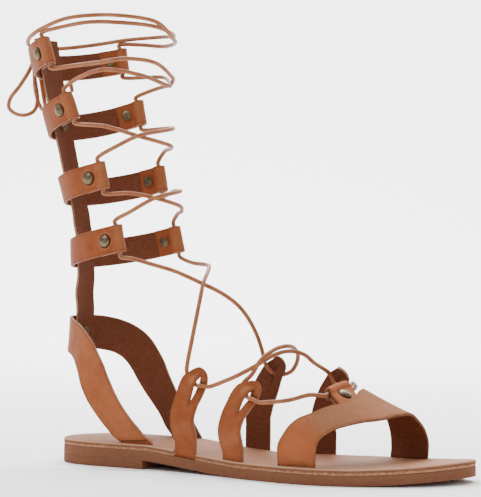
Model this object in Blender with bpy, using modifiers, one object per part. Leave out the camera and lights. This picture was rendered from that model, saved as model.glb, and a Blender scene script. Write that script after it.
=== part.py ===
"""Lace-up gladiator sandal for the right foot: flat leather sole, strap upper and riveted ankle cuffs.

+X points to the toe, +Y to the inner side of the foot and +Z up. The origin is on the floor
under the middle of the heel seat. Sizes are in millimetres, and MM turns them into metres.
Angles are in degrees. On the leg 0 is the back and minus is the outer side. On the foot
0 is the ridge of the instep and -90 and +90 are the outer and inner edges of the footbed.
"""
import math

import bmesh
import bpy
import numpy as np
from mathutils import Matrix, Vector

MM = 0.001
GAP = 0.3

# Sole, from the floor up
HEEL_LIFT = 5.0
HEEL_BREAST_X = 40.0
OUTSOLE = 5.8
INSOLE = 3.2
HEEL_RADIUS = 31.0
SLOT_END_ROOM = 0.5

# Straps and metal
LEATHER = 2.0
CUFF_WIDTH = 16.0
SIDE_STRAP_WIDTH = 16.0
STRAP_LIFT = 0.5
LACE = 2.5
RIVET_CAP = 8.0
RIVET_DOME = 1.5
RIVET_SHANK = 2.4
RIVET_BACK = 6.0
RIVET_BACK_THICK = 0.6
RIVET_ROOM = 0.5
RIVET_CURVE_ROOM = 0.6
RIVET_HOLE = RIVET_SHANK + 0.8
RIVET_CUTTER = 16.0
RIVET_STEPS = 8

# Folded ends that carry the lace
FOLD_ROOM = 0.5
FOLD_RADIUS = LACE / 2 + FOLD_ROOM + LEATHER / 2
FOLD_NECK = 3.2
LAYER_STEP = LEATHER + GAP
CUFF_RIVET_BACK = 11.8
CUFF_TAIL = 18.0
CUFF_STEP = 8.0
CUFF_BACK_HALF_ANGLE = 15

# Mid-surfaces above the last: one layer, and a layer that lies over another
LIFT_ONE = STRAP_LIFT + LEATHER / 2
LIFT_TWO = LIFT_ONE + LAYER_STEP + 0.3

# Plan of the sole: x, outer edge y, inner edge y
SOLE_PLAN = (
    (20, -31.5, 31.0),
    (45, -32.0, 28.5),
    (70, -34.0, 24.5),
    (95, -38.0, 24.0),
    (120, -43.5, 29.5),
    (140, -46.5, 36.0),
    (158, -46.0, 41.5),
    (175, -41.5, 44.0),
    (190, -34.0, 44.0),
    (205, -23.5, 41.0),
    (216, -11.0, 36.0),
    (223, 2.0, 29.5),
)
TOE_TIP = (226.5, 16)

# Underside of the outsole: x, height above the floor
SOLE_RISE = (
    (-31, 5.0),
    (40, 5.0),
    (60, 3.5),
    (78, 1.9),
    (95, 0.7),
    (112, 0.0),
    (175, 0.0),
    (190, 0.5),
    (205, 1.4),
    (217, 2.5),
    (227, 3.6),
)
SOLE_BENDS = (40, 50, 60, 69, 78, 87, 95, 103, 112, 175, 183, 191, 199, 207, 215, 222)

# Leg that the cuffs close round: height, centre x, half depth, half width
LEG = (
    (14, 8.0, 34.0, 29.0),
    (40, 9.0, 37.0, 31.0),
    (68, 12.8, 37.2, 31.0),
    (95, 14.2, 37.0, 30.5),
    (120, 15.0, 38.3, 30.0),
    (136, 12.5, 37.2, 29.4),
    (156, 6.5, 35.8, 28.8),
    (172, 2.0, 36.2, 29.4),
    (190, -2.0, 37.0, 31.0),
    (206, -4.8, 38.4, 33.2),
    (217, -6.8, 39.6, 35.0),
    (250, -10.3, 44.0, 40.5),
    (275, -14.0, 48.0, 45.0),
)

# Foot: x, instep height, instep y, outer side y, inner side y
FOOT = (
    (40, 135, 2, -31.0, 28.0),
    (60, 110, 4, -31.5, 27.0),
    (78, 91, 6, -32.5, 27.5),
    (95, 81.5, 8, -34.5, 29.5),
    (112, 72.5, 10, -37.5, 32.5),
    (130, 63, 12, -40.5, 36.5),
    (148, 52, 13, -42.0, 39.5),
    (160, 45.5, 14, -40.5, 40.5),
    (172, 39.5, 15, -37.0, 41.0),
    (190, 33, 17, -27.0, 39.5),
    (205, 29, 18, -17.0, 37.0),
)
FOOT_SIDE_POWER = 0.86
FOOT_TOP_POWER = 0.80
BASE_TUCK = 0.10
BASE_TUCK_HEIGHT = 14.0
BASE_ABOVE = 1.0
BASE_BELOW = 0.1

# Cuffs from the top down: name, height at the fold, height at the back, angle of the fold
CUFFS = (
    ("ankle_cuff_1", 244.8, 238.0, 74.0),
    ("ankle_cuff_2", 212.2, 200.8, 88.7),
    ("ankle_cuff_3", 171.0, 160.8, 105.5),
    ("ankle_cuff_4", 134.2, 123.6, 107.5),
)

# Strap up the back: height, lift above the leg of the side that faces it
SPINE = (
    (70, 1.5),
    (88, 1.5),
    (101, 2.8),
    (112, 1.5),
    (134, 1.5),
    (142, 2.2),
    (150, 1.5),
    (255, 1.5),
)
SPINE_ANGLES = (-15, 0, 15)

# Heel strap from the back to the footbed: lower edge run and height, upper edge run and height
HEEL_STRAP = (
    (0.0, 67.0, 0.0, 87.0),
    (14.0, 66.2, 14.0, 86.8),
    (26.0, 63.7, 29.0, 84.0),
    (35.0, 57.0, 43.0, 76.5),
    (42.5, 46.5, 53.0, 64.5),
    (50.0, 36.3, 61.5, 52.0),
    (58.5, 26.5, 71.0, 38.5),
    (65.5, 18.5, 83.0, 24.5),
    (70.5, 14.8, 92.0, 14.8),
)
HEEL_QUARTER = 55.8
HEEL_RIVET_Z = 77.0

# Toe strap across the foot: foot angle, rear edge x, front edge x
TOE_STRAP = (
    (-90, 136, 158),
    (-84, 136, 159),
    (-74, 139.5, 160),
    (-62, 145, 164.5),
    (-50, 152.5, 171),
    (-38, 157.5, 177),
    (-30, 160.5, 181),
    (-20, 161.5, 184),
    (-9, 161.5, 186),
    (8, 161, 187.5),
    (30, 161, 187.5),
    (50, 162, 187.5),
    (68, 163.5, 188),
    (90, 165, 189),
)
TAB_FIRST = -30
TAB_LAST = -9
TAB_DIRECTION = (-0.90, 0.43)
TAB_LENGTH = 16.0
TAB_RIVET = 4.8
TAB_TAIL = 7.0

# Side straps: name, then rows of foot angle and x from the footbed up to the tip
SIDE_STRAPS = (
    ("side_strap_outer_rear", ((-90, 73), (-82, 68), (-77, 69.5), (-70, 73), (-63, 76), (-55, 79))),
    ("side_strap_outer_front", ((-90, 106), (-80, 102), (-74, 103.5), (-67, 107), (-56, 113), (-47, 118))),
    ("side_strap_inner_rear", ((90, 85), (82, 82), (76, 83.5), (68, 87), (58, 91), (46, 95))),
    ("side_strap_inner_front", ((90, 125), (80, 122), (72, 123.5), (60, 127), (46, 131), (28, 135.5))),
)
SLIT_FROM_TIP = 6.0
SLIT_LENGTH = 18.0
SLIT_WIDTH = 1.0
SLIT_ACROSS = 2.4
BRANCH_OUT = 3.2
BRANCH_IN = 2.0
BRANCH_FALL = 12.0
SIDE_STRAP_STEP = 3.0
TIP_HALF_WIDTH = 1.2

# Lace at a slit: share of the slit from its top, distance to the front, height
UNDER_REAR_BRANCH = ((0.28, -1.6, 0.1), (0.1, -9.8, 0.1))
OVER_FRONT_BRANCH = ((0.34, 3.4, 0.8), (0.38, 6.5, 0.9), (0.4, 11.0, 0.5))

# A lace stops just outside the loop that it enters, and leads straight into it
LOOP_GAP = 0.65
LOOP_LEAD = 3.0

# Lace across the leg: name, run that lies over, then for each run the loop it leaves,
# rows of angle and height, and the loop it enters. A loop is a cuff, a side and an end.
LACE_SKIN = LACE / 2 + 0.4
LACE_OVER = 1.6
LEG_LACES = (
    ("lace_cross_1", 1,
     ((1, -1, 1), ((-98, 228), (-119, 232), (-148, 229.5), (-186, 225), (-205, 226), (-225, 229), (-250, 233)),
      (0, 1, -1)),
     ((0, -1, -1), ((-94, 234.5), (-115, 236), (-136, 238.5), (-162, 237), (-192, 230.5), (-208, 228.5),
                    (-230, 227), (-255, 226)), (1, 1, 1))),
    ("lace_cross_2", 0,
     ((2, -1, 1), ((-118, 187), (-142, 194), (-184, 198.5), (-215, 200.5), (-248, 201)), (1, 1, -1)),
     ((1, -1, -1), ((-112, 199), (-142, 193.5), (-184, 189.5), (-215, 188), (-242, 187)), (2, 1, 1))),
    ("lace_cross_3", 0,
     ((3, -1, 1), ((-118, 149), (-146, 157.5), (-184, 161.5), (-215, 162.5), (-238, 162.5)), (2, 1, -1)),
     ((2, -1, -1), ((-122, 160), (-146, 157.5), (-183, 153.5), (-215, 150.5), (-238, 149)), (3, 1, 1))),
)
TOP_LACES = (
    ((0, -1, 1), ((-87, 257), (-112, 259.5), (-138, 259.3), (-162, 258.5), (-187, 256.5), (-215, 256), (-250, 258),
                  (-285, 257.5), (-310, 254.5), (-335, 251.5))),
    ((0, 1, 1), ((88, 254), (112, 252), (145, 252), (172, 253.5), (193, 260), (210, 262.5), (236, 263.5),
                 (263, 262), (288, 257.5), (313, 253.5), (335, 250.5))),
)
BACK_LACE_LIFT = 4.4
BACK_LACE_REACH = 60.0

# Lace over the foot: rows of x, y and height
ANKLE_TO_OUTER = ((36, 27, 119), (50, 20, 116.5), (58, 9, 115), (66, -8, 103.5), (68, -17.3, 94.5),
                  (70, -26.5, 78), (69, -32, 62))
ANKLE_TO_INNER = ((30, -29.5, 119.5), (40, -24.5, 113.8), (52, -16.8, 108.6), (66, -8.8, 101.2), (74, -1.5, 96),
                  (80, 7, 90.5), (83, 15, 84), (83, 22.5, 75), (81, 28, 66))
OUTER_TO_INNER = ((97, -32.5, 54), (104, -30, 57.5), (111.6, -25, 62.5), (117, -13, 68.5), (121, -2, 70.3),
                  (124.5, 8, 68), (126, 17, 63))
INNER_TO_OUTER = ((109, 27, 60), (114, 18, 66.5), (116.5, 5, 72.5), (115, -9, 71.5), (113, -21.5, 65.8),
                  (108, -29.5, 57.5))
OUTER_TO_TAB = ((127.6, -36.3, 43.3), (138, -32.5, 44.8), (145.5, -24, 47.5))
TAB_TO_INNER = ((151.0, 17, 52.3), (148, 25, 49), (141.5, 30.5, 46.5))

# Bow at the back: centre and size of the knot, then tubes as a direction out of the knot,
# rows of x, y and height, and a direction back into it or none for a free end
KNOT = (-61.5, 0.5, 250.0)
KNOT_SIZE = (8.0, 9.0, 9.0)
KNOT_REACH = 5.5
BOW = (
    ("bow_loop_outer", (-0.10, -0.62, -0.78),
     ((-62.9, -6, 237), (-66.5, -11, 226.8), (-71, -14.5, 219), (-72, -14.8, 213), (-67.7, -13.5, 209.2),
      (-62.5, -10, 208.6), (-59.6, -5, 212), (-60.4, -1.5, 220), (-63.4, -1.0, 235)), (-0.3, -0.1, -0.95)),
    ("bow_loop_inner", (-0.62, 0.35, -0.70),
     ((-68, 6, 240), (-70, 8.5, 229), (-69, 10.5, 219), (-65.5, 10.5, 213.5), (-61.5, 8, 215), (-61, 5, 223),
      (-63.2, 4.6, 236)), (-0.1, 0.55, -0.83)),
    ("lace_end_outer", (-0.25, 0.93, -0.25), ((-63.5, 10, 246), (-63, 15, 238), (-60.5, 18, 228), (-58.5, 19.5, 219)),
     None),
    ("lace_end_inner", (-0.35, 0.55, 0.76), ((-64.5, 9, 254), (-64, 16.5, 251), (-61, 23, 243), (-57.5, 27, 234),
                                             (-55.5, 28.5, 225)), None),
)
TUBE_STEP = 7.4

LEATHER_TAN = (0.58, 0.25, 0.095, 1.0)
TOE_TAN = (0.62, 0.32, 0.15, 1.0)
SOLE_TAN = (0.36, 0.19, 0.10, 1.0)
INSOLE_TAN = (0.62, 0.42, 0.27, 1.0)
LACE_TAN = (0.55, 0.31, 0.17, 1.0)
ANTIQUE_BRASS = (0.22, 0.19, 0.12, 1.0)


def table(rows, key, column):
    """Smooth monotone curve through the column of a table, read at the key."""
    xs = np.array([row[0] for row in rows], float)
    ys = np.array([row[column] for row in rows], float)
    step = np.diff(xs)
    slope = np.diff(ys) / step
    tangent = np.zeros(len(xs))
    for i in range(1, len(xs) - 1):
        if slope[i - 1] * slope[i] > 0:
            tangent[i] = 2 * slope[i - 1] * slope[i] / (slope[i - 1] + slope[i])
    tangent[0] = slope[0]
    tangent[-1] = slope[-1]
    key = min(max(key, xs[0]), xs[-1])
    k = min(max(int(np.searchsorted(xs, key)) - 1, 0), len(xs) - 2)
    t = (key - xs[k]) / step[k]
    low = (2 * t**3 - 3 * t**2 + 1) * ys[k] + (t**3 - 2 * t**2 + t) * step[k] * tangent[k]
    high = (-2 * t**3 + 3 * t**2) * ys[k + 1] + (t**3 - t**2) * step[k] * tangent[k + 1]
    return low + high


def unit(vector):
    return vector / np.linalg.norm(vector)


def sole_rise(x):
    """Height of the outsole's underside, straight between the bends."""
    bends = (-40,) + SOLE_BENDS + (240,)
    return float(np.interp(x, bends, [table(SOLE_RISE, bend, 1) for bend in bends]))


def footbed(x):
    """Height of the insole's top."""
    return sole_rise(x) + OUTSOLE + GAP + INSOLE


def tuck(height):
    """Share of the foot's width that is left near the footbed, where the sides round under."""
    return 1 - BASE_TUCK * max(0.0, 1 - height / BASE_TUCK_HEIGHT) ** 2


def leg_point(z, angle, lift):
    """Point on the leg, lifted along the normal of its oval slice."""
    centre, depth, width = (table(LEG, z, column) for column in (1, 2, 3))
    c = math.cos(math.radians(angle))
    s = math.sin(math.radians(angle))
    normal = unit(np.array((-c / depth, s / width, 0.0)))
    return np.array((centre - depth * c, width * s, z)) + lift * normal


def heel_point(run, z, side, lift):
    """Point on the heel: a quarter oval from the back, then straight on to the footbed's side."""
    angle = min(run / HEEL_QUARTER, 1.0) * 90
    point = leg_point(z, side * angle, lift)
    point[0] += max(run - HEEL_QUARTER, 0.0)
    inner_taper = 0.05 * max(run - HEEL_QUARTER, 0.0) if side > 0 else 0.0
    point[1] = side * (abs(point[1]) - inner_taper) * tuck(z - footbed(point[0]))
    return point


def foot_skin(x, angle):
    """Point on the foot's skin."""
    top, ridge, outer, inner = (table(FOOT, x, column) for column in (1, 2, 3, 4))
    s = math.sin(math.radians(angle))
    c = max(math.cos(math.radians(angle)), 0.0)
    bed = footbed(x)
    z = bed + c**FOOT_TOP_POWER * (top - bed)
    width = (ridge - outer) if angle < 0 else (inner - ridge)
    y = ridge + math.copysign(abs(s) ** FOOT_SIDE_POWER, s) * width
    return np.array((x, y * tuck(z - bed), z))


def foot_normal(x, angle):
    """Outward normal of the foot's skin."""
    low = max(angle - 1.0, -89.9)
    high = min(angle + 1.0, 89.9)
    across = foot_skin(x, high) - foot_skin(x, low)
    along = foot_skin(x + 1, angle) - foot_skin(x - 1, angle)
    return unit(np.cross(along, across))


def foot_point(x, angle, lift):
    return foot_skin(x, angle) + lift * foot_normal(x, angle)


def smooth_path(points, spacing):
    """Even points along a smooth curve through the hand-placed points."""
    nodes = [np.array(p, float) for p in points]
    padded = [2 * nodes[0] - nodes[1]] + nodes + [2 * nodes[-1] - nodes[-2]]
    fine = []
    for p0, p1, p2, p3 in zip(padded, padded[1:], padded[2:], padded[3:]):
        for t in np.linspace(0, 1, 16, endpoint=False):
            fine.append(0.5 * (2 * p1 + (p2 - p0) * t + (2 * p0 - 5 * p1 + 4 * p2 - p3) * t**2
                               + (3 * p1 - p0 - 3 * p2 + p3) * t**3))
    fine.append(nodes[-1])
    return resample(fine, spacing)


def resample(points, spacing):
    """The same run with even spacing."""
    points = np.array(points)
    length = np.concatenate(([0], np.cumsum(np.linalg.norm(np.diff(points, axis=0), axis=1))))
    count = max(int(round(length[-1] / spacing)), 2)
    wanted = np.linspace(0, length[-1], count + 1)
    return np.stack([np.interp(wanted, length, points[:, axis]) for axis in range(3)], axis=1)


def material(name, colour, roughness, metallic=0.0):
    shader = bpy.data.materials.new(name)
    shader.use_nodes = True
    node = shader.node_tree.nodes["Principled BSDF"]
    node.inputs["Base Color"].default_value = colour
    node.inputs["Roughness"].default_value = roughness
    node.inputs["Metallic"].default_value = metallic
    return shader


def add_object(name, mesh, collection, shader=None):
    obj = bpy.data.objects.new(name, mesh)
    if shader:
        mesh.materials.append(shader)
    collection.objects.link(obj)
    return obj


def mesh_from_grid(name, rows, faces):
    """Mesh from rows of points and a set of (row, column) cells."""
    width = len(rows[0])
    mesh = bpy.data.meshes.new(name)
    verts = [Vector(p) * MM for row in rows for p in row]
    quads = [(i * width + j, (i + 1) * width + j, (i + 1) * width + j + 1, i * width + j + 1) for i, j in faces]
    mesh.from_pydata(verts, [], quads)
    bm = bmesh.new()
    bm.from_mesh(mesh)
    loose = [v for v in bm.verts if not v.link_faces]
    bmesh.ops.delete(bm, geom=loose, context="VERTS")
    bm.to_mesh(mesh)
    bm.free()
    return mesh


def swell(from_tip, start, full):
    """Share of a branch's bulge: it rises from start to full and is gone at the slit's lower end."""
    end = SLIT_FROM_TIP + SLIT_LENGTH
    rise = min(max((from_tip - start) / (full - start), 0.0), 1.0)
    fall = min(max((end - from_tip) / (end - BRANCH_FALL), 0.0), 1.0)
    return rise * rise * (3 - 2 * rise) * fall * fall * (3 - 2 * fall)


def thicken(obj):
    """Give an open mid-surface the leather's thickness."""
    shell = obj.modifiers.new("thickness", "SOLIDIFY")
    shell.thickness = LEATHER * MM
    shell.offset = 0.0
    shell.use_even_offset = True


def leather_shell(name, rows, collection, shader, skip=()):
    """Strap from rows of mid-surface points; the skipped cells are its slit."""
    cells = [(i, j) for i in range(len(rows) - 1) for j in range(len(rows[0]) - 1) if (i, j) not in skip]
    obj = add_object(name, mesh_from_grid(name, rows, cells), collection, shader)
    thicken(obj)
    return obj


def cut(obj, cutter):
    boolean = obj.modifiers.new("cut " + cutter.name, "BOOLEAN")
    boolean.operation = "DIFFERENCE"
    boolean.solver = "EXACT"
    boolean.object = cutter


def add_cutter(name, mesh, cutters):
    cutter = add_object(name, mesh, cutters)
    cutter.hide_render = True
    cutter.display_type = "WIRE"
    return cutter


def box_mesh(name, size):
    mesh = bpy.data.meshes.new(name)
    bm = bmesh.new()
    bmesh.ops.create_cube(bm, size=1.0)
    bmesh.ops.scale(bm, vec=Vector(size) * MM, verts=bm.verts)
    bm.to_mesh(mesh)
    bm.free()
    return mesh


def sole_outline(resolution):
    """Closed plan of the sole as a smooth curve through its heel arc and plan table."""
    heel = [(HEEL_RADIUS * math.cos(math.radians(a)), HEEL_RADIUS * math.sin(math.radians(a)))
            for a in (90, 120, 150, 180, 210, 240, 270)]
    outer = [(x, y) for x, y, _ in SOLE_PLAN]
    inner = [(x, y) for x, _, y in reversed(SOLE_PLAN)]
    points = heel + outer + [TOE_TIP] + inner
    curve = bpy.data.curves.new("sole outline", "CURVE")
    curve.dimensions = "2D"
    curve.fill_mode = "BOTH"
    curve.resolution_u = resolution
    spline = curve.splines.new("BEZIER")
    spline.bezier_points.add(len(points) - 1)
    for bezier, (x, y) in zip(spline.bezier_points, points):
        bezier.co = (x * MM, y * MM, 0)
        bezier.handle_left_type = "AUTO"
        bezier.handle_right_type = "AUTO"
    spline.use_cyclic_u = True
    return curve


def sole_layer(name, bottom, thickness, bends, collection, shader, front=None):
    """Flat layer cut to the sole's plan, then bent over the heel and up at the toe."""
    curve = sole_outline(3)
    curve.extrude = thickness / 2 * MM
    source = bpy.data.objects.new(name + " outline", curve)
    collection.objects.link(source)
    bpy.context.view_layer.update()
    evaluated = source.evaluated_get(bpy.context.evaluated_depsgraph_get())
    mesh = bpy.data.meshes.new_from_object(evaluated)
    mesh.name = name
    bpy.data.objects.remove(source)
    bm = bmesh.new()
    bm.from_mesh(mesh)
    bmesh.ops.remove_doubles(bm, verts=bm.verts, dist=0.00001)
    flat = [e for e in bm.edges if e.is_manifold and e.calc_face_angle() < 0.001]
    bmesh.ops.dissolve_edges(bm, edges=flat, use_verts=False)
    if front is not None:
        cut_off = bmesh.ops.bisect_plane(bm, geom=bm.verts[:] + bm.edges[:] + bm.faces[:], dist=0.000001,
                                         plane_co=(front * MM, 0, 0), plane_no=(1, 0, 0), clear_outer=True)
        rim = [e for e in cut_off["geom_cut"] if isinstance(e, bmesh.types.BMEdge)]
        bmesh.ops.contextual_create(bm, geom=rim)
    for x in bends:
        bmesh.ops.bisect_plane(bm, geom=bm.verts[:] + bm.edges[:] + bm.faces[:], dist=0.000001,
                               plane_co=(x * MM, 0, 0), plane_no=(1, 0, 0))
    for v in bm.verts:
        rise = sole_rise(v.co.x / MM) if bends else 0.0
        v.co.z += (rise + bottom + thickness / 2) * MM
    bmesh.ops.recalc_face_normals(bm, faces=bm.faces)
    bm.to_mesh(mesh)
    bm.free()
    mesh.materials.clear()
    return add_object(name, mesh, collection, shader)


def strap_slot(insole, name, low, high, cutters):
    """Slot through the insole for a strap whose base runs from low to high."""
    middle = (low + high) / 2
    run = unit((high - low) * (1, 1, 0))
    length = np.linalg.norm((high - low)[:2]) + 2 * SLOT_END_ROOM
    mesh = box_mesh(name, (length, LEATHER + 2 * GAP, INSOLE * 4))
    mesh.transform(Matrix.Rotation(math.atan2(run[1], run[0]), 4, "Z"))
    cutter = add_cutter(name, mesh, cutters)
    cutter.location = Vector((middle[0], middle[1], footbed(middle[0]) - INSOLE / 2)) * MM
    cut(insole, cutter)


def rooted(row):
    """Straight rows that carry a strap's base from the footbed down into its slot."""
    run = row[-1] - row[0]
    line = [row[0] + run * np.dot(p - row[0], run) / np.dot(run, run) for p in row]
    above = [np.array((p[0], p[1], footbed(p[0]) + BASE_ABOVE)) for p in line]
    below = [np.array((p[0], p[1], footbed(p[0]) - INSOLE + BASE_BELOW)) for p in line]
    return [above, below]


def heel_strap_rows():
    """Edge rows of the heel strap, from the outer base round the back to the inner base."""
    def half(side):
        rows = []
        for u in np.linspace(0, len(HEEL_STRAP) - 1, 15):
            keyed = [(i,) + row for i, row in enumerate(HEEL_STRAP)]
            low_run, low_z, high_run, high_z = (table(keyed, u, column) for column in (1, 2, 3, 4))
            lift = table(((0, LIFT_TWO), (15, LIFT_TWO), (32, LIFT_ONE), (200, LIFT_ONE)), low_run, 1)
            rows.append((heel_point(low_run, low_z, side, lift), heel_point(high_run, high_z, side, lift)))
        return rows

    outer = half(-1)
    inner = half(1)
    base_outer = rooted(outer[-1])
    base_inner = rooted(inner[-1])
    rows = list(reversed(outer[1:-1])) + inner[:-1]
    return base_outer[::-1] + rows + base_inner, base_outer[0], base_inner[0]


def spine_rows():
    """Rows of the strap up the back, curved across to sit inside the cuffs."""
    heights = list(np.arange(SPINE[0][0], SPINE[-1][0], 7.4)) + [SPINE[-1][0]]
    return [[leg_point(z, angle, table(SPINE, z, 1)) for angle in SPINE_ANGLES] for z in heights]


class SideStrap:
    """Mid-surface of a side strap, measured as a run from the footbed to the tip."""

    def __init__(self, path_rows):
        self.side = 1 if path_rows[0][0] > 0 else -1
        self.path = sorted((self.side * angle, x) for angle, x in path_rows)
        self.angles = np.linspace(self.path[-1][0] - 3, self.path[0][0], 80)
        places = np.array([self.place(angle) for angle in self.angles])
        self.runs = np.concatenate(([0], np.cumsum(np.linalg.norm(np.diff(places, axis=0), axis=1))))
        self.total = self.runs[-1]

    def place(self, angle, lift=LIFT_ONE):
        return foot_point(table(self.path, angle, 1), self.side * angle, lift)

    def frame(self, run):
        """Point, outward normal and direction across the strap to its front edge."""
        angle, low, high = (float(np.interp(place, self.runs, self.angles)) for place in (run, run - 1, run + 1))
        point = self.place(angle)
        along = unit(self.place(high, 0.0) - self.place(low, 0.0))
        normal = foot_normal(point[0], self.side * angle)
        normal = unit(normal - along * np.dot(normal, along))
        return point, normal, np.cross(normal, along) * self.side

    def grid(self):
        """Rows of four points, the cells of the slit, and the two ends of the base."""
        rows = []
        slit = []
        for i, run in enumerate(np.linspace(0, self.total, int(self.total / SIDE_STRAP_STEP) + 1)):
            point, normal, across = self.frame(run)
            from_tip = self.total - run
            half = SIDE_STRAP_WIDTH / 2
            if from_tip < half:
                half = math.sqrt(max(half**2 - (half - from_tip) ** 2, TIP_HALF_WIDTH**2))
            slit_at = SLIT_ACROSS * half / (SIDE_STRAP_WIDTH / 2)
            inner = min(SLIT_WIDTH / 2, half * 0.3)
            out = BRANCH_OUT * swell(from_tip, 0.0, SLIT_FROM_TIP)
            out_at_slit = BRANCH_OUT * swell(from_tip, SLIT_FROM_TIP - 1, SLIT_FROM_TIP + 3)
            dip = -BRANCH_IN * swell(from_tip, SLIT_FROM_TIP, SLIT_FROM_TIP + 4)
            offsets = ((-half, out), (slit_at - inner, out_at_slit), (slit_at + inner, dip), (half, dip))
            rows.append([point + across * v + normal * lift for v, lift in offsets])
            if SLIT_FROM_TIP < from_tip < SLIT_FROM_TIP + SLIT_LENGTH:
                slit.append(i)
        base = rooted(rows[0])
        cells = {(i + len(base), 1) for i in range(min(slit) - 1, max(slit) + 1)}
        return base[::-1] + rows, cells, (base[0][0], base[0][-1])

    def spot(self, into, sideways, lift):
        """Point beside the slit: share of its length from its top, distance to the front, height."""
        point, normal, across = self.frame(self.total - SLIT_FROM_TIP - SLIT_LENGTH * into)
        return point + across * sideways + normal * lift


def add_toe_strap(collection, shader):
    """Toe strap with the tab at its rear edge folded under into a loop."""
    angles = sorted(set(np.linspace(-87, TAB_FIRST, 10)) | set(np.linspace(TAB_FIRST, TAB_LAST, 4))
                    | set(np.linspace(TAB_LAST, 87, 14)))
    rows = []
    for angle in angles:
        rear = table(TOE_STRAP, angle, 1)
        front = table(TOE_STRAP, angle, 2)
        rows.append([foot_point(x, angle, LIFT_ONE) for x in (rear, (rear + front) / 2, front)])
    first = angles.index(TAB_FIRST)
    last = angles.index(TAB_LAST)
    edge = [rows[i][0] for i in range(first, last + 1)]
    middle = (TAB_FIRST + TAB_LAST) / 2
    normal = foot_normal(table(TOE_STRAP, middle, 1) - TAB_LENGTH / 2, middle)
    out = np.array((*TAB_DIRECTION, 0.0))
    out = unit(out - np.array((0, 0, 1)) * np.dot(out, normal) / normal[2])
    profile = fold_profile(TAB_LENGTH, 0.0, TAB_RIVET, TAB_RIVET - TAB_TAIL)
    tab = [edge] + [[p + out * run + normal * lift for p in edge] for run, lift in profile]

    base_outer = rooted(rows[0])
    base_inner = rooted(rows[-1])
    rows = base_outer[::-1] + rows + base_inner
    mesh = mesh_from_grid("toe_strap", rows, [(i, j) for i in range(len(rows) - 1) for j in range(2)])
    bm = bmesh.new()
    bm.from_mesh(mesh)
    grid = [[bm.verts.new(Vector(p) * MM) for p in row] for row in tab]
    for near, far in zip(grid, grid[1:]):
        for j in range(len(edge) - 1):
            bm.faces.new((near[j], near[j + 1], far[j + 1], far[j]))
    bmesh.ops.remove_doubles(bm, verts=bm.verts, dist=0.00001)
    bmesh.ops.recalc_face_normals(bm, faces=bm.faces)
    bm.to_mesh(mesh)
    bm.free()
    strap = add_object("toe_strap", mesh, collection, shader)
    thicken(strap)
    centre = (edge[1] + edge[2]) / 2
    rivet = (centre + out * TAB_RIVET, normal)
    fold_run, fold_lift = fold_centre(TAB_LENGTH, 0.0)
    inside = [p + out * fold_run + normal * fold_lift for p in edge]
    mouths = [inside[0] * 1.6 - inside[1] * 0.6, *inside, inside[-1] * 1.6 - inside[-2] * 0.6]
    return strap, ((base_outer[0][0], base_outer[0][-1]), (base_inner[0][0], base_inner[0][-1])), rivet, mouths


def fold_centre(extreme, lift):
    """Run and height of the middle of the lace inside a folded end."""
    return extreme - FOLD_RADIUS - LEATHER / 2, lift - LAYER_STEP / 2 - 0.1


def fold_profile(extreme, lift, rivet, tail):
    """Rows of run and height of a folded end: out to the fold, round the lace and back under itself."""
    run, height = fold_centre(extreme, lift)
    under = lift - LAYER_STEP
    shoulder = FOLD_RADIUS * 0.93
    profile = [(rivet - 1, lift), (run - FOLD_NECK, lift + 0.1), (run - 1.4, height + shoulder)]
    for turn in np.linspace(90, -90, 7):
        profile.append((run + FOLD_RADIUS * math.cos(math.radians(turn)),
                        height + FOLD_RADIUS * math.sin(math.radians(turn))))
    profile += [(run - 1.4, height - shoulder), (run - FOLD_NECK, under - 0.1), (rivet - 1, under), (tail, under)]
    return profile


class CuffPath:
    """Runs along a cuff, measured from the middle of its back."""

    def __init__(self, fold_z, back_z, fold_angle):
        self.fold_z = fold_z
        self.back_z = back_z
        self.fold_angle = fold_angle
        self.angles = np.linspace(0, 150, 151)
        points = np.array([leg_point(self.height(a), a, LIFT_TWO) for a in self.angles])
        steps = np.linalg.norm(np.diff(points, axis=0), axis=1)
        self.runs = np.concatenate(([0], np.cumsum(steps)))
        self.extreme = self.run(fold_angle)

    def height(self, angle):
        share = (1 - math.cos(math.radians(angle))) / (1 - math.cos(math.radians(self.fold_angle)))
        return self.back_z + (self.fold_z - self.back_z) * share

    def run(self, angle):
        return float(np.interp(angle, self.angles, self.runs))

    def point(self, run, lift, side):
        angle = float(np.interp(run, self.runs, self.angles))
        return leg_point(self.height(angle), side * angle, lift)

    def frame(self, run, lift, side):
        """Point, outward normal and run direction."""
        point = self.point(run, lift, side)
        along = unit(self.point(run + 0.5, lift, side) - self.point(run - 0.5, lift, side))
        angle = side * float(np.interp(run, self.runs, self.angles))
        rise = leg_point(point[2] + 1, angle, lift) - leg_point(point[2] - 1, angle, lift)
        return point, unit(np.cross(along, rise)) * -side, along


def cuff_rows(path):
    """Edge rows of one cuff from the outer tail round the leg to the inner tail."""
    rivet = path.extreme - CUFF_RIVET_BACK
    profile = fold_profile(path.extreme, LIFT_TWO, rivet, path.extreme - CUFF_TAIL)

    def edges(run, lift, side):
        point, normal, along = path.frame(run, lift, side)
        width = np.cross(normal, along) * side
        return point - width * CUFF_WIDTH / 2, point + width * CUFF_WIDTH / 2

    outer_end = [edges(run, lift, -1) for run, lift in profile]
    inner_end = [edges(run, lift, 1) for run, lift in profile]
    first = path.run(CUFF_BACK_HALF_ANGLE)
    last = rivet - RIVET_CAP / 2
    body_runs = list(np.linspace(first, last, int((last - first) / CUFF_STEP) + 1))
    body = [edges(run, LIFT_TWO, -1) for run in reversed(body_runs)]
    body += [edges(run, LIFT_TWO, 1) for run in [0.0] + body_runs]
    return list(reversed(outer_end)) + body + inner_end


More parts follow.
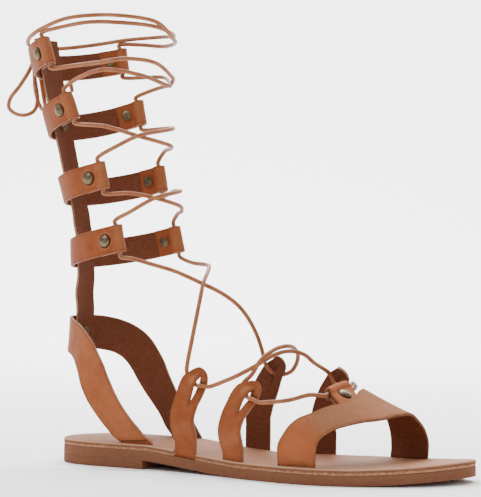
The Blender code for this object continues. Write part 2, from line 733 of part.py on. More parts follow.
def rivet_mesh(name, grip):
    """Domed cap, shank and flat back as one turned piece; grip is the leather between them."""
    cap = RIVET_CAP / 2
    shank = RIVET_SHANK / 2
    back = RIVET_BACK / 2
    end = -grip - RIVET_BACK_THICK
    profile = [(0, RIVET_DOME), (cap * 0.7, RIVET_DOME * 0.72), (cap, 0.2), (cap, 0), (shank, 0),
               (shank, -grip), (back, -grip), (back, end), (0, end)]
    mesh = bpy.data.meshes.new(name)
    mesh.from_pydata([Vector((x, 0, z)) * MM for x, z in profile], [(i, i + 1) for i in range(len(profile) - 1)], [])
    return mesh


def add_rivet(name, point, normal, stack, collection, shader):
    """Rivet through a stack of leather, the outer layer of which has its mid-surface at the point."""
    grip = stack + 2 * RIVET_ROOM
    point = np.array(point) + np.array(normal) * (LEATHER / 2 + RIVET_ROOM)
    obj = add_object(name, rivet_mesh(name, grip), collection, shader)
    screw = obj.modifiers.new("turn", "SCREW")
    screw.steps = RIVET_STEPS
    screw.render_steps = RIVET_STEPS
    screw.use_merge_vertices = True
    screw.merge_threshold = 0.00001
    screw.use_smooth_shade = True
    obj.rotation_mode = "QUATERNION"
    obj.rotation_quaternion = Vector(normal).to_track_quat("Z", "X")
    obj.location = Vector(point) * MM
    return obj


def rivet_hole(obj, name, point, normal, cutters):
    """Round hole for the rivet's shank."""
    mesh = bpy.data.meshes.new(name)
    bm = bmesh.new()
    bmesh.ops.create_cone(bm, cap_ends=True, segments=8, radius1=RIVET_HOLE / 2 * MM,
                          radius2=RIVET_HOLE / 2 * MM, depth=RIVET_CUTTER * MM)
    bm.to_mesh(mesh)
    bm.free()
    cutter = add_cutter(name, mesh, cutters)
    cutter.rotation_mode = "QUATERNION"
    cutter.rotation_quaternion = Vector(normal).to_track_quat("Z", "X")
    cutter.location = Vector(point) * MM
    cut(obj, cutter)


def tube(name, points, collection, shader=None):
    """Lace as a round tube along even points."""
    curve = bpy.data.curves.new(name, "CURVE")
    curve.dimensions = "3D"
    curve.bevel_depth = LACE / 2 * MM
    curve.bevel_resolution = 2
    curve.use_fill_caps = True
    spline = curve.splines.new("POLY")
    spline.points.add(len(points) - 1)
    for spot, point in zip(spline.points, points):
        spot.co = (point[0] * MM, point[1] * MM, point[2] * MM, 1)
    source = bpy.data.objects.new(name + " run", curve)
    collection.objects.link(source)
    bpy.context.view_layer.update()
    mesh = bpy.data.meshes.new_from_object(source.evaluated_get(bpy.context.evaluated_depsgraph_get()))
    mesh.name = name
    bpy.data.objects.remove(source)
    bm = bmesh.new()
    bm.from_mesh(mesh)
    bmesh.ops.remove_doubles(bm, verts=bm.verts, dist=0.00001)
    bmesh.ops.recalc_face_normals(bm, faces=bm.faces)
    bm.to_mesh(mesh)
    bm.free()
    obj = add_object(name, mesh, collection, shader)
    mesh.shade_smooth()
    return obj


def loop_mouth(paths, loop):
    """Points where a lace stops just outside a cuff's loop and where it has led straight out."""
    cuff, side, end = loop
    path = paths[cuff]
    fold_run, fold_lift = fold_centre(path.extreme, LIFT_TWO)
    point, normal, along = path.frame(fold_run, fold_lift, side)
    up = np.cross(normal, along) * side
    up = up * math.copysign(1.0, up[2]) * end
    return point + up * (CUFF_WIDTH / 2 + LOOP_GAP), point + up * (CUFF_WIDTH / 2 + LOOP_LEAD)


def leg_line(rows, over, back=0.0):
    """Lace points on the leg; the middle of a run that lies over another is lifted."""
    count = len(rows) - 1
    line = []
    for i, (angle, z) in enumerate(rows):
        near_back = max(0.0, 1 - abs((angle + 180) % 360 - 180) / BACK_LACE_REACH)
        lift = LACE_SKIN + over * math.sin(math.pi * (i + 1) / (count + 2)) + back * near_back
        line.append(leg_point(z, angle, lift))
    return line


def leg_lace(paths, run, over):
    start, rows, end = run
    return [*loop_mouth(paths, start), *leg_line(rows, over), *reversed(loop_mouth(paths, end))]


def top_lace(paths, run, over, knot):
    start, rows = run
    line = [*loop_mouth(paths, start), *leg_line(rows, over, BACK_LACE_LIFT)]
    side = math.copysign(1.0, line[-1][1])
    return line + [knot + unit(np.array((0.35, 0.94 * side, 0.0))) * KNOT_REACH]


def foot_laces(paths, passes, tab_mouths):
    """Name and lines of the laces over the ankle and the instep."""
    under = {}
    over = {}
    for name, spot in passes.items():
        under[name] = [spot(*place) for place in UNDER_REAR_BRANCH]
        over[name] = [spot(*place) for place in OVER_FRONT_BRANCH]
    outer_rear, outer_front, inner_rear, inner_front = (name for name, _ in SIDE_STRAPS)
    to_outer = [*loop_mouth(paths, (3, 1, -1)), *ANKLE_TO_OUTER, *reversed(under[outer_rear])]
    to_inner = [*loop_mouth(paths, (3, -1, -1)), *ANKLE_TO_INNER, *reversed(under[inner_rear])]
    a = [*over[outer_rear], *OUTER_TO_INNER, *reversed(under[inner_front])]
    b = [*over[inner_rear], *INNER_TO_OUTER, *reversed(under[outer_front])]
    c = [*over[outer_front], *OUTER_TO_TAB, *tab_mouths, *TAB_TO_INNER, *reversed(over[inner_front])]
    return (("lace_cross_4", (to_outer, to_inner)), ("lace_cross_5", (a, b)), ("lace_toe_run", (c,)))


def crossed_lace(name, lines, collection, cutters, shader):
    """Lace runs joined where they cross."""
    tubes = [tube(name if i == 0 else f"{name} joined", smooth_path(line, TUBE_STEP),
                  collection if i == 0 else cutters, shader) for i, line in enumerate(lines)]
    for other in tubes[1:]:
        other.hide_render = True
        other.display_type = "WIRE"
        union = tubes[0].modifiers.new("join", "BOOLEAN")
        union.operation = "UNION"
        union.solver = "EXACT"
        union.object = other


def add_bow(collection, shader):
    knot = np.array(KNOT)
    mesh = bpy.data.meshes.new("bow_knot")
    bm = bmesh.new()
    bmesh.ops.create_uvsphere(bm, u_segments=10, v_segments=7, radius=0.5)
    bmesh.ops.scale(bm, vec=Vector(KNOT_SIZE) * MM, verts=bm.verts)
    bm.to_mesh(mesh)
    bm.free()
    mesh.shade_smooth()
    add_object("bow_knot", mesh, collection, shader).location = Vector(knot) * MM
    for name, out, rows, back in BOW:
        line = [knot + unit(np.array(out)) * KNOT_REACH, *rows]
        if back is not None:
            line.append(knot + unit(np.array(back)) * KNOT_REACH)
        tube(name, smooth_path(line, TUBE_STEP), collection, shader)


def build():
    for old in list(bpy.data.objects):
        bpy.data.objects.remove(old)
    scene = bpy.context.scene.collection
    parts = bpy.data.collections.new("gladiator_sandal")
    cutters = bpy.data.collections.new("cutters")
    scene.children.link(parts)
    scene.children.link(cutters)
    tan = material("tan leather", LEATHER_TAN, 0.5)
    toe_tan = material("toe strap leather", TOE_TAN, 0.5)
    sole_tan = material("sole leather", SOLE_TAN, 0.65)
    insole_tan = material("insole leather", INSOLE_TAN, 0.6)
    brass = material("antique brass", ANTIQUE_BRASS, 0.4, 0.9)
    lace = material("lace leather", LACE_TAN, 0.5)

    sole_layer("outsole", 0.0, OUTSOLE, SOLE_BENDS, parts, sole_tan)
    sole_layer("heel_lift", 0.0, HEEL_LIFT - GAP, (), parts, sole_tan, front=HEEL_BREAST_X)
    insole = sole_layer("insole", OUTSOLE + GAP, INSOLE, SOLE_BENDS, parts, insole_tan)

    rows, outer_base, inner_base = heel_strap_rows()
    heel_strap = leather_shell("heel_strap", rows, parts, tan)
    strap_slot(insole, "slot heel outer", *outer_base, cutters)
    strap_slot(insole, "slot heel inner", *inner_base, cutters)

    spine = leather_shell("spine_strap", spine_rows(), parts, tan)
    seat = heel_point(0.0, HEEL_RIVET_Z, 1, LIFT_TWO)
    back = np.array((-1.0, 0.0, 0.0))
    rivet_hole(heel_strap, "hole heel strap", seat, back, cutters)
    rivet_hole(spine, "hole spine heel", seat, back, cutters)
    on_spine = LIFT_TWO - LIFT_ONE + LEATHER + RIVET_CURVE_ROOM
    add_rivet("rivet_heel_strap", seat, back, on_spine, parts, brass)

    paths = []
    for name, fold_z, back_z, fold_angle in CUFFS:
        path = CuffPath(fold_z, back_z, fold_angle)
        paths.append(path)
        cuff = leather_shell(name, cuff_rows(path), parts, tan)
        for side, word in ((-1, "outer"), (1, "inner")):
            point, normal, _ = path.frame(path.extreme - CUFF_RIVET_BACK, LIFT_TWO, side)
            rivet_hole(cuff, f"hole {name} {word}", point, normal, cutters)
            add_rivet(f"rivet_{name}_{word}", point, normal, LAYER_STEP + LEATHER, parts, brass)
        point, normal, _ = path.frame(0.0, LIFT_TWO, 1)
        rivet_hole(cuff, f"hole {name} back", point, normal, cutters)
        rivet_hole(spine, f"hole spine {name}", point, normal, cutters)
        add_rivet(f"rivet_{name}_back", point, normal, on_spine, parts, brass)

    passes = {}
    for name, path_rows in SIDE_STRAPS:
        strap = SideStrap(path_rows)
        passes[name] = strap.spot
        rows, slit, base = strap.grid()
        leather_shell(name, rows, parts, tan, slit)
        strap_slot(insole, f"slot {name}", *base, cutters)

    toe_strap, toe_bases, tab_rivet, tab_mouths = add_toe_strap(parts, toe_tan)
    for word, base in zip(("outer", "inner"), toe_bases):
        strap_slot(insole, f"slot toe {word}", *base, cutters)
    rivet_hole(toe_strap, "hole toe tab", *tab_rivet, cutters)
    add_rivet("rivet_toe_tab", *tab_rivet, LAYER_STEP + LEATHER, parts, brass)

    for name, over, *runs in LEG_LACES:
        lines = [leg_lace(paths, run, LACE_OVER if i == over else 0.0) for i, run in enumerate(runs)]
        crossed_lace(name, lines, parts, cutters, lace)
    knot = np.array(KNOT)
    lines = [top_lace(paths, run, LACE_OVER * i, knot) for i, run in enumerate(TOP_LACES)]
    crossed_lace("lace_top_wrap", lines, parts, cutters, lace)
    for name, lines in foot_laces(paths, passes, tab_mouths):
        crossed_lace(name, lines, parts, cutters, lace)
    add_bow(parts, lace)


build()
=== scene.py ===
"""Looks of the gladiator sandal: leather straps and cuffs, sole layers, rivets, lace and bow, floor, light and camera.

Sizes are in millimetres, and MM turns them into metres. Angles are in degrees. On the leg 0 is the back and minus is
the outer side. On the foot 0 is the ridge of the instep and -90 and +90 are the outer and inner edges of the footbed.
"""
import math

import bmesh
import bpy
import numpy as np
from mathutils import Matrix, Vector, geometry, noise
from mathutils.kdtree import KDTree


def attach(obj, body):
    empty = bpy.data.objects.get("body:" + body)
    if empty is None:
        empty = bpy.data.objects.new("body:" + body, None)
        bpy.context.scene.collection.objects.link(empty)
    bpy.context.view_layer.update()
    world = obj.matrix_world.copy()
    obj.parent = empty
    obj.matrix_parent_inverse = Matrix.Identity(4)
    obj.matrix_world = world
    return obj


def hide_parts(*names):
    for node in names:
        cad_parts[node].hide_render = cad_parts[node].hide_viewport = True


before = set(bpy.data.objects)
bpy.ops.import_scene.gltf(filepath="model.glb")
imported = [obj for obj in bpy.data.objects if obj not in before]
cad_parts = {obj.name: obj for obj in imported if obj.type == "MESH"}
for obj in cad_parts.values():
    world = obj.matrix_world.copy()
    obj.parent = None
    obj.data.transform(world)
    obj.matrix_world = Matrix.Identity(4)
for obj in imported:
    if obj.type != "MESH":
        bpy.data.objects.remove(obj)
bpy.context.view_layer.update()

MM = 0.001

# Camera, fitted to the photograph: place, azimuth of its back, roll, lens for a 36 mm sensor
CAMERA_PLACE = (727.8, -1068.8, 128.5)
CAMERA_AZIMUTH = 31.0
CAMERA_ROLL = 0.7
CAMERA_LENS = 155.7
SENSOR = 36.0

# Sole, from the floor up
HEEL_BREAST_X = 40.0
OUTSOLE = 5.8
INSOLE = 3.2
GAP = 0.3
HEEL_RADIUS = 31.0
SLOT_END_ROOM = 0.5

# Straps, lace and metal
LEATHER = 2.0
CUFF_WIDTH = 16.0
SIDE_STRAP_WIDTH = 16.0
STRAP_LIFT = 0.5
LACE = 2.5
RIVET_CAP = 7.0
RIVET_DOME = 1.5
RIVET_BACK = 6.0
RIVET_BACK_THICK = 0.6
RIVET_ROOM = 0.5
RIVET_CURVE_ROOM = 0.6
RIVET_SIDES = 40

# Folded ends that carry the lace
FOLD_RADIUS = LACE / 2 + 0.5 + LEATHER / 2
FOLD_NECK = 3.2
LAYER_STEP = LEATHER + GAP
CUFF_RIVET_BACK = 11.8
CUFF_TAIL = 18.0
LIFT_ONE = STRAP_LIFT + LEATHER / 2
LIFT_TWO = LIFT_ONE + LAYER_STEP + 0.3

# Plan of the sole: x, outer edge y, inner edge y
SOLE_PLAN = (
    (20, -31.5, 31.0),
    (45, -32.0, 28.5),
    (70, -34.0, 24.5),
    (95, -38.0, 24.0),
    (120, -43.5, 29.5),
    (140, -46.5, 36.0),
    (158, -46.0, 41.5),
    (175, -41.5, 44.0),
    (190, -34.0, 44.0),
    (205, -23.5, 41.0),
    (216, -11.0, 36.0),
    (223, 2.0, 29.5),
)
TOE_TIP = (226.5, 16)

# Underside of the outsole: x, height above the floor
SOLE_RISE = (
    (-31, 5.0),
    (40, 5.0),
    (60, 3.5),
    (78, 1.9),
    (95, 0.7),
    (112, 0.0),
    (175, 0.0),
    (190, 0.5),
    (205, 1.4),
    (217, 2.5),
    (227, 3.6),
)

# Leg that the cuffs close round: height, centre x, half depth, half width
LEG = (
    (14, 8.0, 34.0, 29.0),
    (40, 9.0, 37.0, 31.0),
    (68, 12.8, 37.2, 31.0),
    (95, 14.2, 37.0, 30.5),
    (120, 15.0, 38.3, 30.0),
    (136, 12.5, 37.2, 29.4),
    (156, 6.5, 35.8, 28.8),
    (172, 2.0, 36.2, 29.4),
    (190, -2.0, 37.0, 31.0),
    (206, -4.8, 38.4, 33.2),
    (217, -6.8, 39.6, 35.0),
    (250, -10.3, 44.0, 40.5),
    (275, -14.0, 48.0, 45.0),
)

# Foot: x, instep height, instep y, outer side y, inner side y
FOOT = (
    (40, 135, 2, -31.0, 28.0),
    (60, 110, 4, -31.5, 27.0),
    (78, 91, 6, -32.5, 27.5),
    (95, 81.5, 8, -34.5, 29.5),
    (112, 72.5, 10, -37.5, 32.5),
    (130, 63, 12, -40.5, 36.5),
    (148, 52, 13, -42.0, 39.5),
    (160, 45.5, 14, -40.5, 40.5),
    (172, 39.5, 15, -37.0, 41.0),
    (190, 33, 17, -27.0, 39.5),
    (205, 29, 18, -17.0, 37.0),
)
FOOT_SIDE_POWER = 0.86
FOOT_TOP_POWER = 0.80
BASE_TUCK = 0.10
BASE_TUCK_HEIGHT = 14.0
BASE_ABOVE = 1.0
BASE_BELOW = 0.1

# Cuffs from the top down: name, height at the fold, height at the back, angle of the fold
CUFFS = (
    ("ankle_cuff_1", 244.8, 238.0, 74.0),
    ("ankle_cuff_2", 212.2, 200.8, 88.7),
    ("ankle_cuff_3", 171.0, 160.8, 105.5),
    ("ankle_cuff_4", 134.2, 123.6, 107.5),
)

# Creases of a cuff: run from its back, or minus from its fold, lean from edge to edge, width, depth
CUFF_CREASES = (
    (-7.8, 0.6, 0.9, 0.16),
    (13.0, -1.4, 2.6, 0.3),
    (26.0, 2.0, 4.5, -0.25),
    (-19.0, -1.0, 3.5, 0.22),
)
# Painted highlight on the bulge of a cuff's fold: where it starts and is full, before the fold's end, and its share
FOLD_SHEEN_START = 6.5
FOLD_SHEEN_FULL = 2.5
FOLD_SHEEN = 0.5

# Strap up the back: height, lift above the leg of its middle layer
SPINE = (
    (70, 1.5),
    (88, 1.5),
    (101, 2.8),
    (112, 1.5),
    (134, 1.5),
    (142, 2.2),
    (150, 1.5),
    (255, 1.5),
)
SPINE_HALF_ANGLE = 15
SPINE_WIDTH = 22.0
SPINE_SPACING = 1.3

# Heel strap from the back to the footbed: lower edge run and height, upper edge run and height
HEEL_STRAP = (
    (0.0, 67.0, 0.0, 87.0),
    (14.0, 66.2, 14.0, 86.8),
    (26.0, 63.7, 29.0, 84.0),
    (35.0, 57.0, 43.0, 76.5),
    (42.5, 46.5, 53.0, 64.5),
    (50.0, 36.3, 61.5, 52.0),
    (58.5, 26.5, 71.0, 38.5),
    (65.5, 18.5, 83.0, 24.5),
    (70.5, 14.8, 92.0, 14.8),
)
# Creases of the heel strap: run and height of both ends, width, depth
HEEL_CREASES = (
    (63.0, 21.0, 86.0, 23.5, 2.6, 0.45),
    (55.0, 30.0, 74.0, 36.0, 4.0, -0.3),
    (36.0, 52.0, 50.0, 70.0, 5.0, 0.35),
    (17.0, 66.0, 21.0, 85.0, 4.0, 0.3),
    (8.0, 67.0, 7.0, 86.0, 3.0, -0.2),
)
# Lift of the heel strap: run from the back, lift; it lies over the spine at the back
HEEL_STRAP_LIFT = ((0, LIFT_TWO), (15, LIFT_TWO), (32, LIFT_ONE), (200, LIFT_ONE))
HEEL_STRAP_WIDTH = 20.0
HEEL_QUARTER = 55.8
HEEL_INNER_TAPER = 0.05
HEEL_RIVET_Z = 77.0
BACKWARDS = np.array((-1.0, 0.0, 0.0))

# Toe strap across the foot: foot angle, rear edge x, front edge x
TOE_STRAP = (
    (-90, 136, 158),
    (-84, 136, 159),
    (-74, 139.5, 160),
    (-62, 145, 164.5),
    (-50, 152.5, 171),
    (-38, 157.5, 177),
    (-30, 160.5, 181),
    (-20, 161.5, 183.5),
    (-9, 160.3, 184.5),
    (-1, 157.2, 184.8),
    (8, 155.8, 184.8),
    (18, 156.6, 184.4),
    (30, 158.8, 184.5),
    (42, 160.8, 185.6),
    (54, 162.2, 187),
    (68, 163.5, 188),
    (90, 165, 189),
)
# Creases of the toe strap: foot angle and share across of both ends, width, depth
TOE_CREASES = (
    (-66, 0.0, -72, 1.0, 4.5, -0.35),
    (-84, 0.0, -84, 1.0, 2.6, 0.5),
    (-56, 0.15, -60, 0.95, 2.0, 0.2),
    (-28, 0.3, -22, 1.0, 3.5, 0.25),
    (-6, 0.0, 2, 0.8, 4.0, 0.25),
    (24, 0.1, 20, 1.0, 4.0, -0.25),
    (60, 0.0, 64, 1.0, 3.0, 0.35),
    (80, 0.0, 82, 1.0, 2.6, 0.45),
)
# Painted light on the toe strap's top, paler where it faces up: foot angles where it starts and is full, how far it
# leans, and where it fades by half
TOE_LIT_TOP = (-69, -50)
TOE_LIT_LEAN = 9
TOE_LIT_FADE = (62, 85)
TOE_STRAP_WIDTH = 25.0
TOE_STRAP_END = 87
TAB_FIRST = -30
TAB_LAST = -9
TAB_REAR = ((-30, 160.5), (-9, 161.5))
TAB_DIRECTION = (-0.90, 0.43)
TAB_LENGTH = 16.0
TAB_RIVET = 4.8
TAB_TAIL = 7.0
TAB_MOUTH = 0.6

# Side straps: name, then rows of foot angle and x from the footbed up to the tip
SIDE_STRAPS = (
    ("side_strap_outer_rear", ((-90, 73), (-82, 68), (-77, 69.5), (-70, 73), (-63, 76), (-55, 79))),
    ("side_strap_outer_front", ((-90, 106), (-80, 102), (-74, 103.5), (-67, 107), (-56, 113), (-47, 118))),
    ("side_strap_inner_rear", ((90, 85), (82, 82), (76, 83.5), (68, 87), (58, 91), (46, 95))),
    ("side_strap_inner_front", ((90, 125), (80, 122), (72, 123.5), (60, 127), (46, 131), (28, 135.5))),
)
# Creases of a side strap: run and place across of both ends, width, depth; a minus run is from the tip
SIDE_CREASES = (
    (5.0, -8.0, 4.0, 8.0, 2.2, 0.5),
    (12.0, -8.0, 14.5, 8.0, 3.6, -0.35),
    (-26.0, -4.0, -24.5, 2.4, 0.8, 0.16),
    (-27.5, 7.0, -24.5, 2.8, 0.9, 0.16),
    (-14.0, -7.5, -11.0, -1.5, 1.2, 0.2),
    (-9.0, -6.5, -7.0, -0.5, 0.9, 0.18),
    (-10.0, 7.5, -8.0, 3.5, 0.9, 0.15),
)
# Heads: the outer ones are cut short by a run, the inner ones reach on by an angle and rise off the foot
OUTER_TRIM = 2.5
INNER_REACH_ANGLE = 4.0
INNER_HEAD_LIFT = 4.5
INNER_HEAD_RUN = 18.0
# Shares that a head and its rear branch are narrower by, and the distances from the tip over which they end
HEAD_TAPER = 0.1
HEAD_TAPER_ENDS = (7.0, 18.0)
REAR_NOTCH = 0.42
REAR_NOTCH_ENDS = (3.0, 9.5)
SLIT_FROM_TIP = 4.6
SLIT_LENGTH = 17.0
SLIT_WIDTH = 1.0
SLIT_ACROSS = 2.4
# Beside the lace the rear branch bulges out and the front branch dips in
BRANCH_OUT = 2.4
BRANCH_IN = 1.4
BRANCH_FALL = 10.0
# Paler patches of a side strap: share, distance from the tip, reach, place across and width for a painted highlight
# where the head's rear branch bulges beside the lace, and share, height above the footbed, reach and limit across
# for a paler band near the foot
HEAD_SHEEN = (0.8, 7.5, 4.0, -0.6, 2.4)
FOOT_PALE = (0.35, 6, 4.0, 6)

# Lace at a slit: share of the slit from its top, distance to the front, height
UNDER_REAR_BRANCH = ((0.3, -1.4, 0.1), (0.13, -6.8, 0.4))
OVER_FRONT_BRANCH = ((0.32, 3.0, 0.9), (0.24, 6.5, 1.1), (0.16, 10.5, 0.9))
OVER_INNER_BRANCH = OVER_FRONT_BRANCH[:2]

# A lace leads straight out of the loop that carries it
LOOP_LEAD = 3.0
LOOP_HALF = CUFF_WIDTH / 2 - 1.0

# Lace across the leg: name, run that lies over, then for each run the loop it leaves,
# rows of angle and height, and the loop it enters. A loop is a cuff, a side and an end.
LACE_SKIN = LACE / 2 + 0.4
LACE_OVER = 1.6
LEG_LACES = (
    ("lace_cross_1", 1,
     ((1, -1, 1), ((-98, 228), (-119, 232), (-148, 229.5), (-186, 225), (-205, 226), (-225, 229), (-250, 233)),
      (0, 1, -1)),
     ((0, -1, -1), ((-94, 234.5), (-115, 236), (-136, 238.5), (-162, 237), (-192, 230.5), (-208, 228.5),
                    (-230, 227), (-255, 226)), (1, 1, 1))),
    ("lace_cross_2", 0,
     ((2, -1, 1), ((-118, 187), (-142, 194), (-184, 198.5), (-215, 200.5), (-248, 201)), (1, 1, -1)),
     ((1, -1, -1), ((-112, 199), (-142, 193.5), (-184, 189.5), (-215, 188), (-242, 187)), (2, 1, 1))),
    ("lace_cross_3", 0,
     ((3, -1, 1), ((-118, 149), (-146, 157.5), (-184, 161.5), (-215, 162.5), (-238, 162.5)), (2, 1, -1)),
     ((2, -1, -1), ((-122, 160), (-146, 157.5), (-183, 153.5), (-215, 150.5), (-238, 149)), (3, 1, 1))),
)
TOP_LACES = (
    ((0, -1, 1), ((-87, 257), (-112, 259.5), (-138, 259.3), (-162, 258.5), (-187, 256.5), (-215, 256),
                  (-250, 258), (-285, 257.5), (-310, 254.5), (-335, 251.5))),
    ((0, 1, 1), ((88, 254), (112, 252), (145, 252), (172, 253.5), (193, 260), (210, 262.5), (236, 263.5),
                 (263, 262), (288, 257.5), (313, 253.5), (335, 250.5))),
)
# Laces are drawn in where the leg turns away from the camera: angle, reach to each side, depth
FRONT_PULL = (149.0, 42.0, 4.6)
BACK_LACE_LIFT = 4.4
BACK_LACE_REACH = 60.0

# Lace over the foot: rows of x, y and height
ANKLE_TO_OUTER = ((36, 27, 119.5), (50, 20, 118.5), (60, 7, 116.8), (67.4, -11.1, 108), (69.8, -19, 97),
                  (70.8, -27, 79), (70, -31.4, 62.5))
ANKLE_TO_INNER = ((30, -29.5, 121.8), (40, -24.5, 118.8), (52, -16.8, 114.6), (66, -8.8, 107.6),
                  (74, -1.5, 102.4), (79.5, 7, 95.8), (82.5, 14.5, 88), (84.5, 21.5, 78), (85.2, 26.5, 69))
OUTER_TO_INNER = ((97, -32.5, 54), (104, -30, 57.5), (111.6, -25, 62.5), (117, -13, 68.5), (121, -2, 70.3),
                  (124.5, 8, 68), (126, 17, 63))
INNER_TO_OUTER = ((104.5, 29.3, 57.3), (111, 24, 64), (115, 15.5, 69.5), (116.5, 4.5, 72.8), (115, -9, 71.5),
                  (113, -21.5, 65.8), (111, -27.7, 58))
OUTER_TO_TAB = ((127.6, -36.3, 43.3), (138, -32.5, 44.8), (145.5, -24, 47.5))
TAB_TO_INNER = ((151.0, 17, 52.3), (149, 24.5, 50), (144, 30.5, 47.8))

# Bow at the back: centre and size of the knot, then tubes as a direction out of the knot,
# rows of x, y and height, and a direction back into it or none for a free end
KNOT = np.array((-61.5, 0.5, 250.0))
KNOT_REACH = 5.5
# Winding of the knot: half its turns, steps, radii, shift, and where the tubes and the top laces start inside it
KNOT_TURNS = 1.3
KNOT_STEPS = 44
KNOT_RADII = (2.9, 2.1, 3.1)
KNOT_SHIFT = 0.4
KNOT_ROOT = KNOT_REACH - 2.2
TOP_LACE_ROOT = KNOT_REACH - 2.5
BOW = (
    ("bow_loop_outer", (-0.10, -0.62, -0.78),
     ((-62.9, -6, 237), (-66.5, -11, 226.8), (-71, -14.5, 219), (-72, -14.8, 213), (-67.7, -13.5, 209.2),
      (-62.5, -10, 208.6), (-59.6, -5, 212), (-60.4, -1.5, 220), (-63.4, -1.0, 235)), (-0.3, -0.1, -0.95)),
    ("bow_loop_inner", (-0.62, 0.35, -0.70),
     ((-68, 6, 240), (-70, 8.5, 229), (-69, 10.5, 219), (-65.5, 10.5, 213.5), (-61.5, 8, 215), (-61, 5, 223),
      (-63.2, 4.6, 236)), (-0.1, 0.55, -0.83)),
    ("lace_end_outer", (-0.25, 0.93, -0.25),
     ((-63.5, 10, 246), (-63, 15, 238), (-60.5, 18, 228), (-58.5, 19.5, 219)), None),
    ("lace_end_inner", (-0.35, 0.55, 0.76),
     ((-64.5, 9, 254), (-64, 16.5, 251), (-61, 23, 243), (-57.5, 27, 234), (-55.5, 28.5, 225)), None),
)

# Fine meshes: spacing along and across a strap, columns next to an edge, and a tube's spacing, sides and end rings,
# then a fold's spacing, the two rows at its cut end, and the rounding of cut edges
ALONG = 0.9
ACROSS = 0.9
EDGE_COLUMNS = (0.0, 0.12, 0.35, 0.7, 1.2)
TUBE_SPACING = 1.0
TUBE_SIDES = 16
TUBE_CAP = ((0.0, 0.55), (0.12, 0.86), (0.35, 1.0))
FOLD_SPACING = ALONG * 0.6
CUT_END = (0.2, 0.55)
EDGE_ROUND = 0.55
RIM_HALF = 0.62
RIM_STEP = 0.2
WELD = 0.000002

# Relief of the leather: the dish pressed by a rivet and the ring beside it, and a soft wave of the whole face
DISH_RADIUS = 4.4
DISH_DEPTH = 0.5
RING_RADIUS = 5.6
RING_WIDTH = 0.8
RING_HEIGHT = 0.12
WAVE_SCALE = 0.11
WAVE_HEIGHT = 0.22
NO_RIVET = 30.0

# Relief of a lace: uneven thickness and a slightly oval section that turns along the run
LACE_PULSE = 0.022
LACE_PULSE_SCALE = 0.35
LACE_OVAL = 0.018
LACE_OVAL_TURN = 0.05

# Sides of the sole's layers, from the bottom up: inset and height
OUTSOLE_SIDE = ((0.15, 0.0), (0.05, 0.06), (0.01, 0.2), (0.0, 1.2), (0.0, 3.0), (0.05, 4.8), (0.12, 5.4), (0.35, 5.8))
INSOLE_SIDE = ((0.5, -0.22), (0.28, 0.1), (0.1, 0.5), (0.02, 1.2), (0.05, 2.2), (0.2, 2.8), (0.5, 3.1), (1.1, 3.2))
LIFT_SIDE = ((0.6, 0.0), (0.2, 0.15), (0.05, 0.6), (0.0, 2.0), (0.0, 3.8), (0.01, 4.9), (0.05, 4.99))
OUTLINE_STEPS = 13
# Cross cuts that let a layer bend: first, last and step along the sole, and the least face cut, in square metres
BEND_CUTS = (-28.0, 226.0, 2.0)
BEND_FACE = 3e-5
SHARP_ANGLE = 50

# Colours that the leathers share
# Painted shade that a rivet's cap casts on the leather round it
RIVET_SHADE = (0.035, 0.012, 0.006)
EDGE_LINE = (0.13, 0.035, 0.013)
RAW_DARK = (0.12, 0.045, 0.022)
RAW_PALE = (0.42, 0.25, 0.155)
FLESH_DARK = (0.085, 0.025, 0.012)
FLESH_LIGHT = (0.15, 0.05, 0.026)
LACE_DARK = (0.235, 0.077, 0.031)
LACE_LIGHT = (0.335, 0.126, 0.057)
LACE_PALE = (0.42, 0.19, 0.095)
LACE_SEAM = (0.11, 0.035, 0.016)
SOLE_LINE = (0.46, 0.245, 0.145)
SOLE_RIM = (0.55, 0.33, 0.215)
PATINA = (0.055, 0.038, 0.022)
BARE_BRASS = (0.20, 0.145, 0.08)

# Studio in metres, but the floor's drop under the sole in millimetres: floor, bend behind it and wall above,
# then lights as name, place, aim, size and power, and the wall's lamp as size and power
FLOOR_REACH = 6.0
BEND_AT = 1.6
BEND_RADIUS = 1.2
WALL_TOP = 6.0
FLOOR_DROP = 0.05
WORLD_LIGHT = 0.6
LIGHTS = (
    ("key", (-0.7, -1.1, 1.9), (0.05, 0, 0.08), (0.9, 0.9), 30),
    ("front", (1.6, -1.5, 0.8), (0.08, 0, 0.1), (1.0, 1.0), 11),
    ("back", (-0.9, 1.5, 1.5), (0.0, 0, 0.1), (1.1, 0.8), 34),
)
WALL_LIGHT = ((4.5, 0.8), 330)


class Curve:
    """Smooth monotone curve through one column of a table."""

    def __init__(self, rows, column):
        self.xs = np.array([row[0] for row in rows], float)
        self.ys = np.array([row[column] for row in rows], float)
        self.step = np.diff(self.xs)
        slope = np.diff(self.ys) / self.step
        product = slope[:-1] * slope[1:]
        total = np.where(np.abs(slope[:-1] + slope[1:]) > 1e-12, slope[:-1] + slope[1:], 1.0)
        middle = np.where(product > 0, 2 * product / total, 0.0)
        self.tangent = np.concatenate(([slope[0]], middle, [slope[-1]]))

    def __call__(self, key):
        key = np.clip(key, self.xs[0], self.xs[-1])
        k = np.clip(np.searchsorted(self.xs, key) - 1, 0, len(self.xs) - 2)
        step = self.step[k]
        t = (key - self.xs[k]) / step
        low = (2 * t**3 - 3 * t**2 + 1) * self.ys[k] + (t**3 - 2 * t**2 + t) * step * self.tangent[k]
        high = (-2 * t**3 + 3 * t**2) * self.ys[k + 1] + (t**3 - t**2) * step * self.tangent[k + 1]
        return low + high


def curves(rows, count):
    return [Curve(rows, column) for column in range(1, count + 1)]


RISE = Curve(SOLE_RISE, 1)
LEG_CENTRE, LEG_DEPTH, LEG_WIDTH = curves(LEG, 3)
FOOT_TOP, FOOT_RIDGE, FOOT_OUTER, FOOT_INNER = curves(FOOT, 4)
TOE_REAR, TOE_FRONT = curves(TOE_STRAP, 2)
TAB_EDGE = Curve(TAB_REAR, 1)


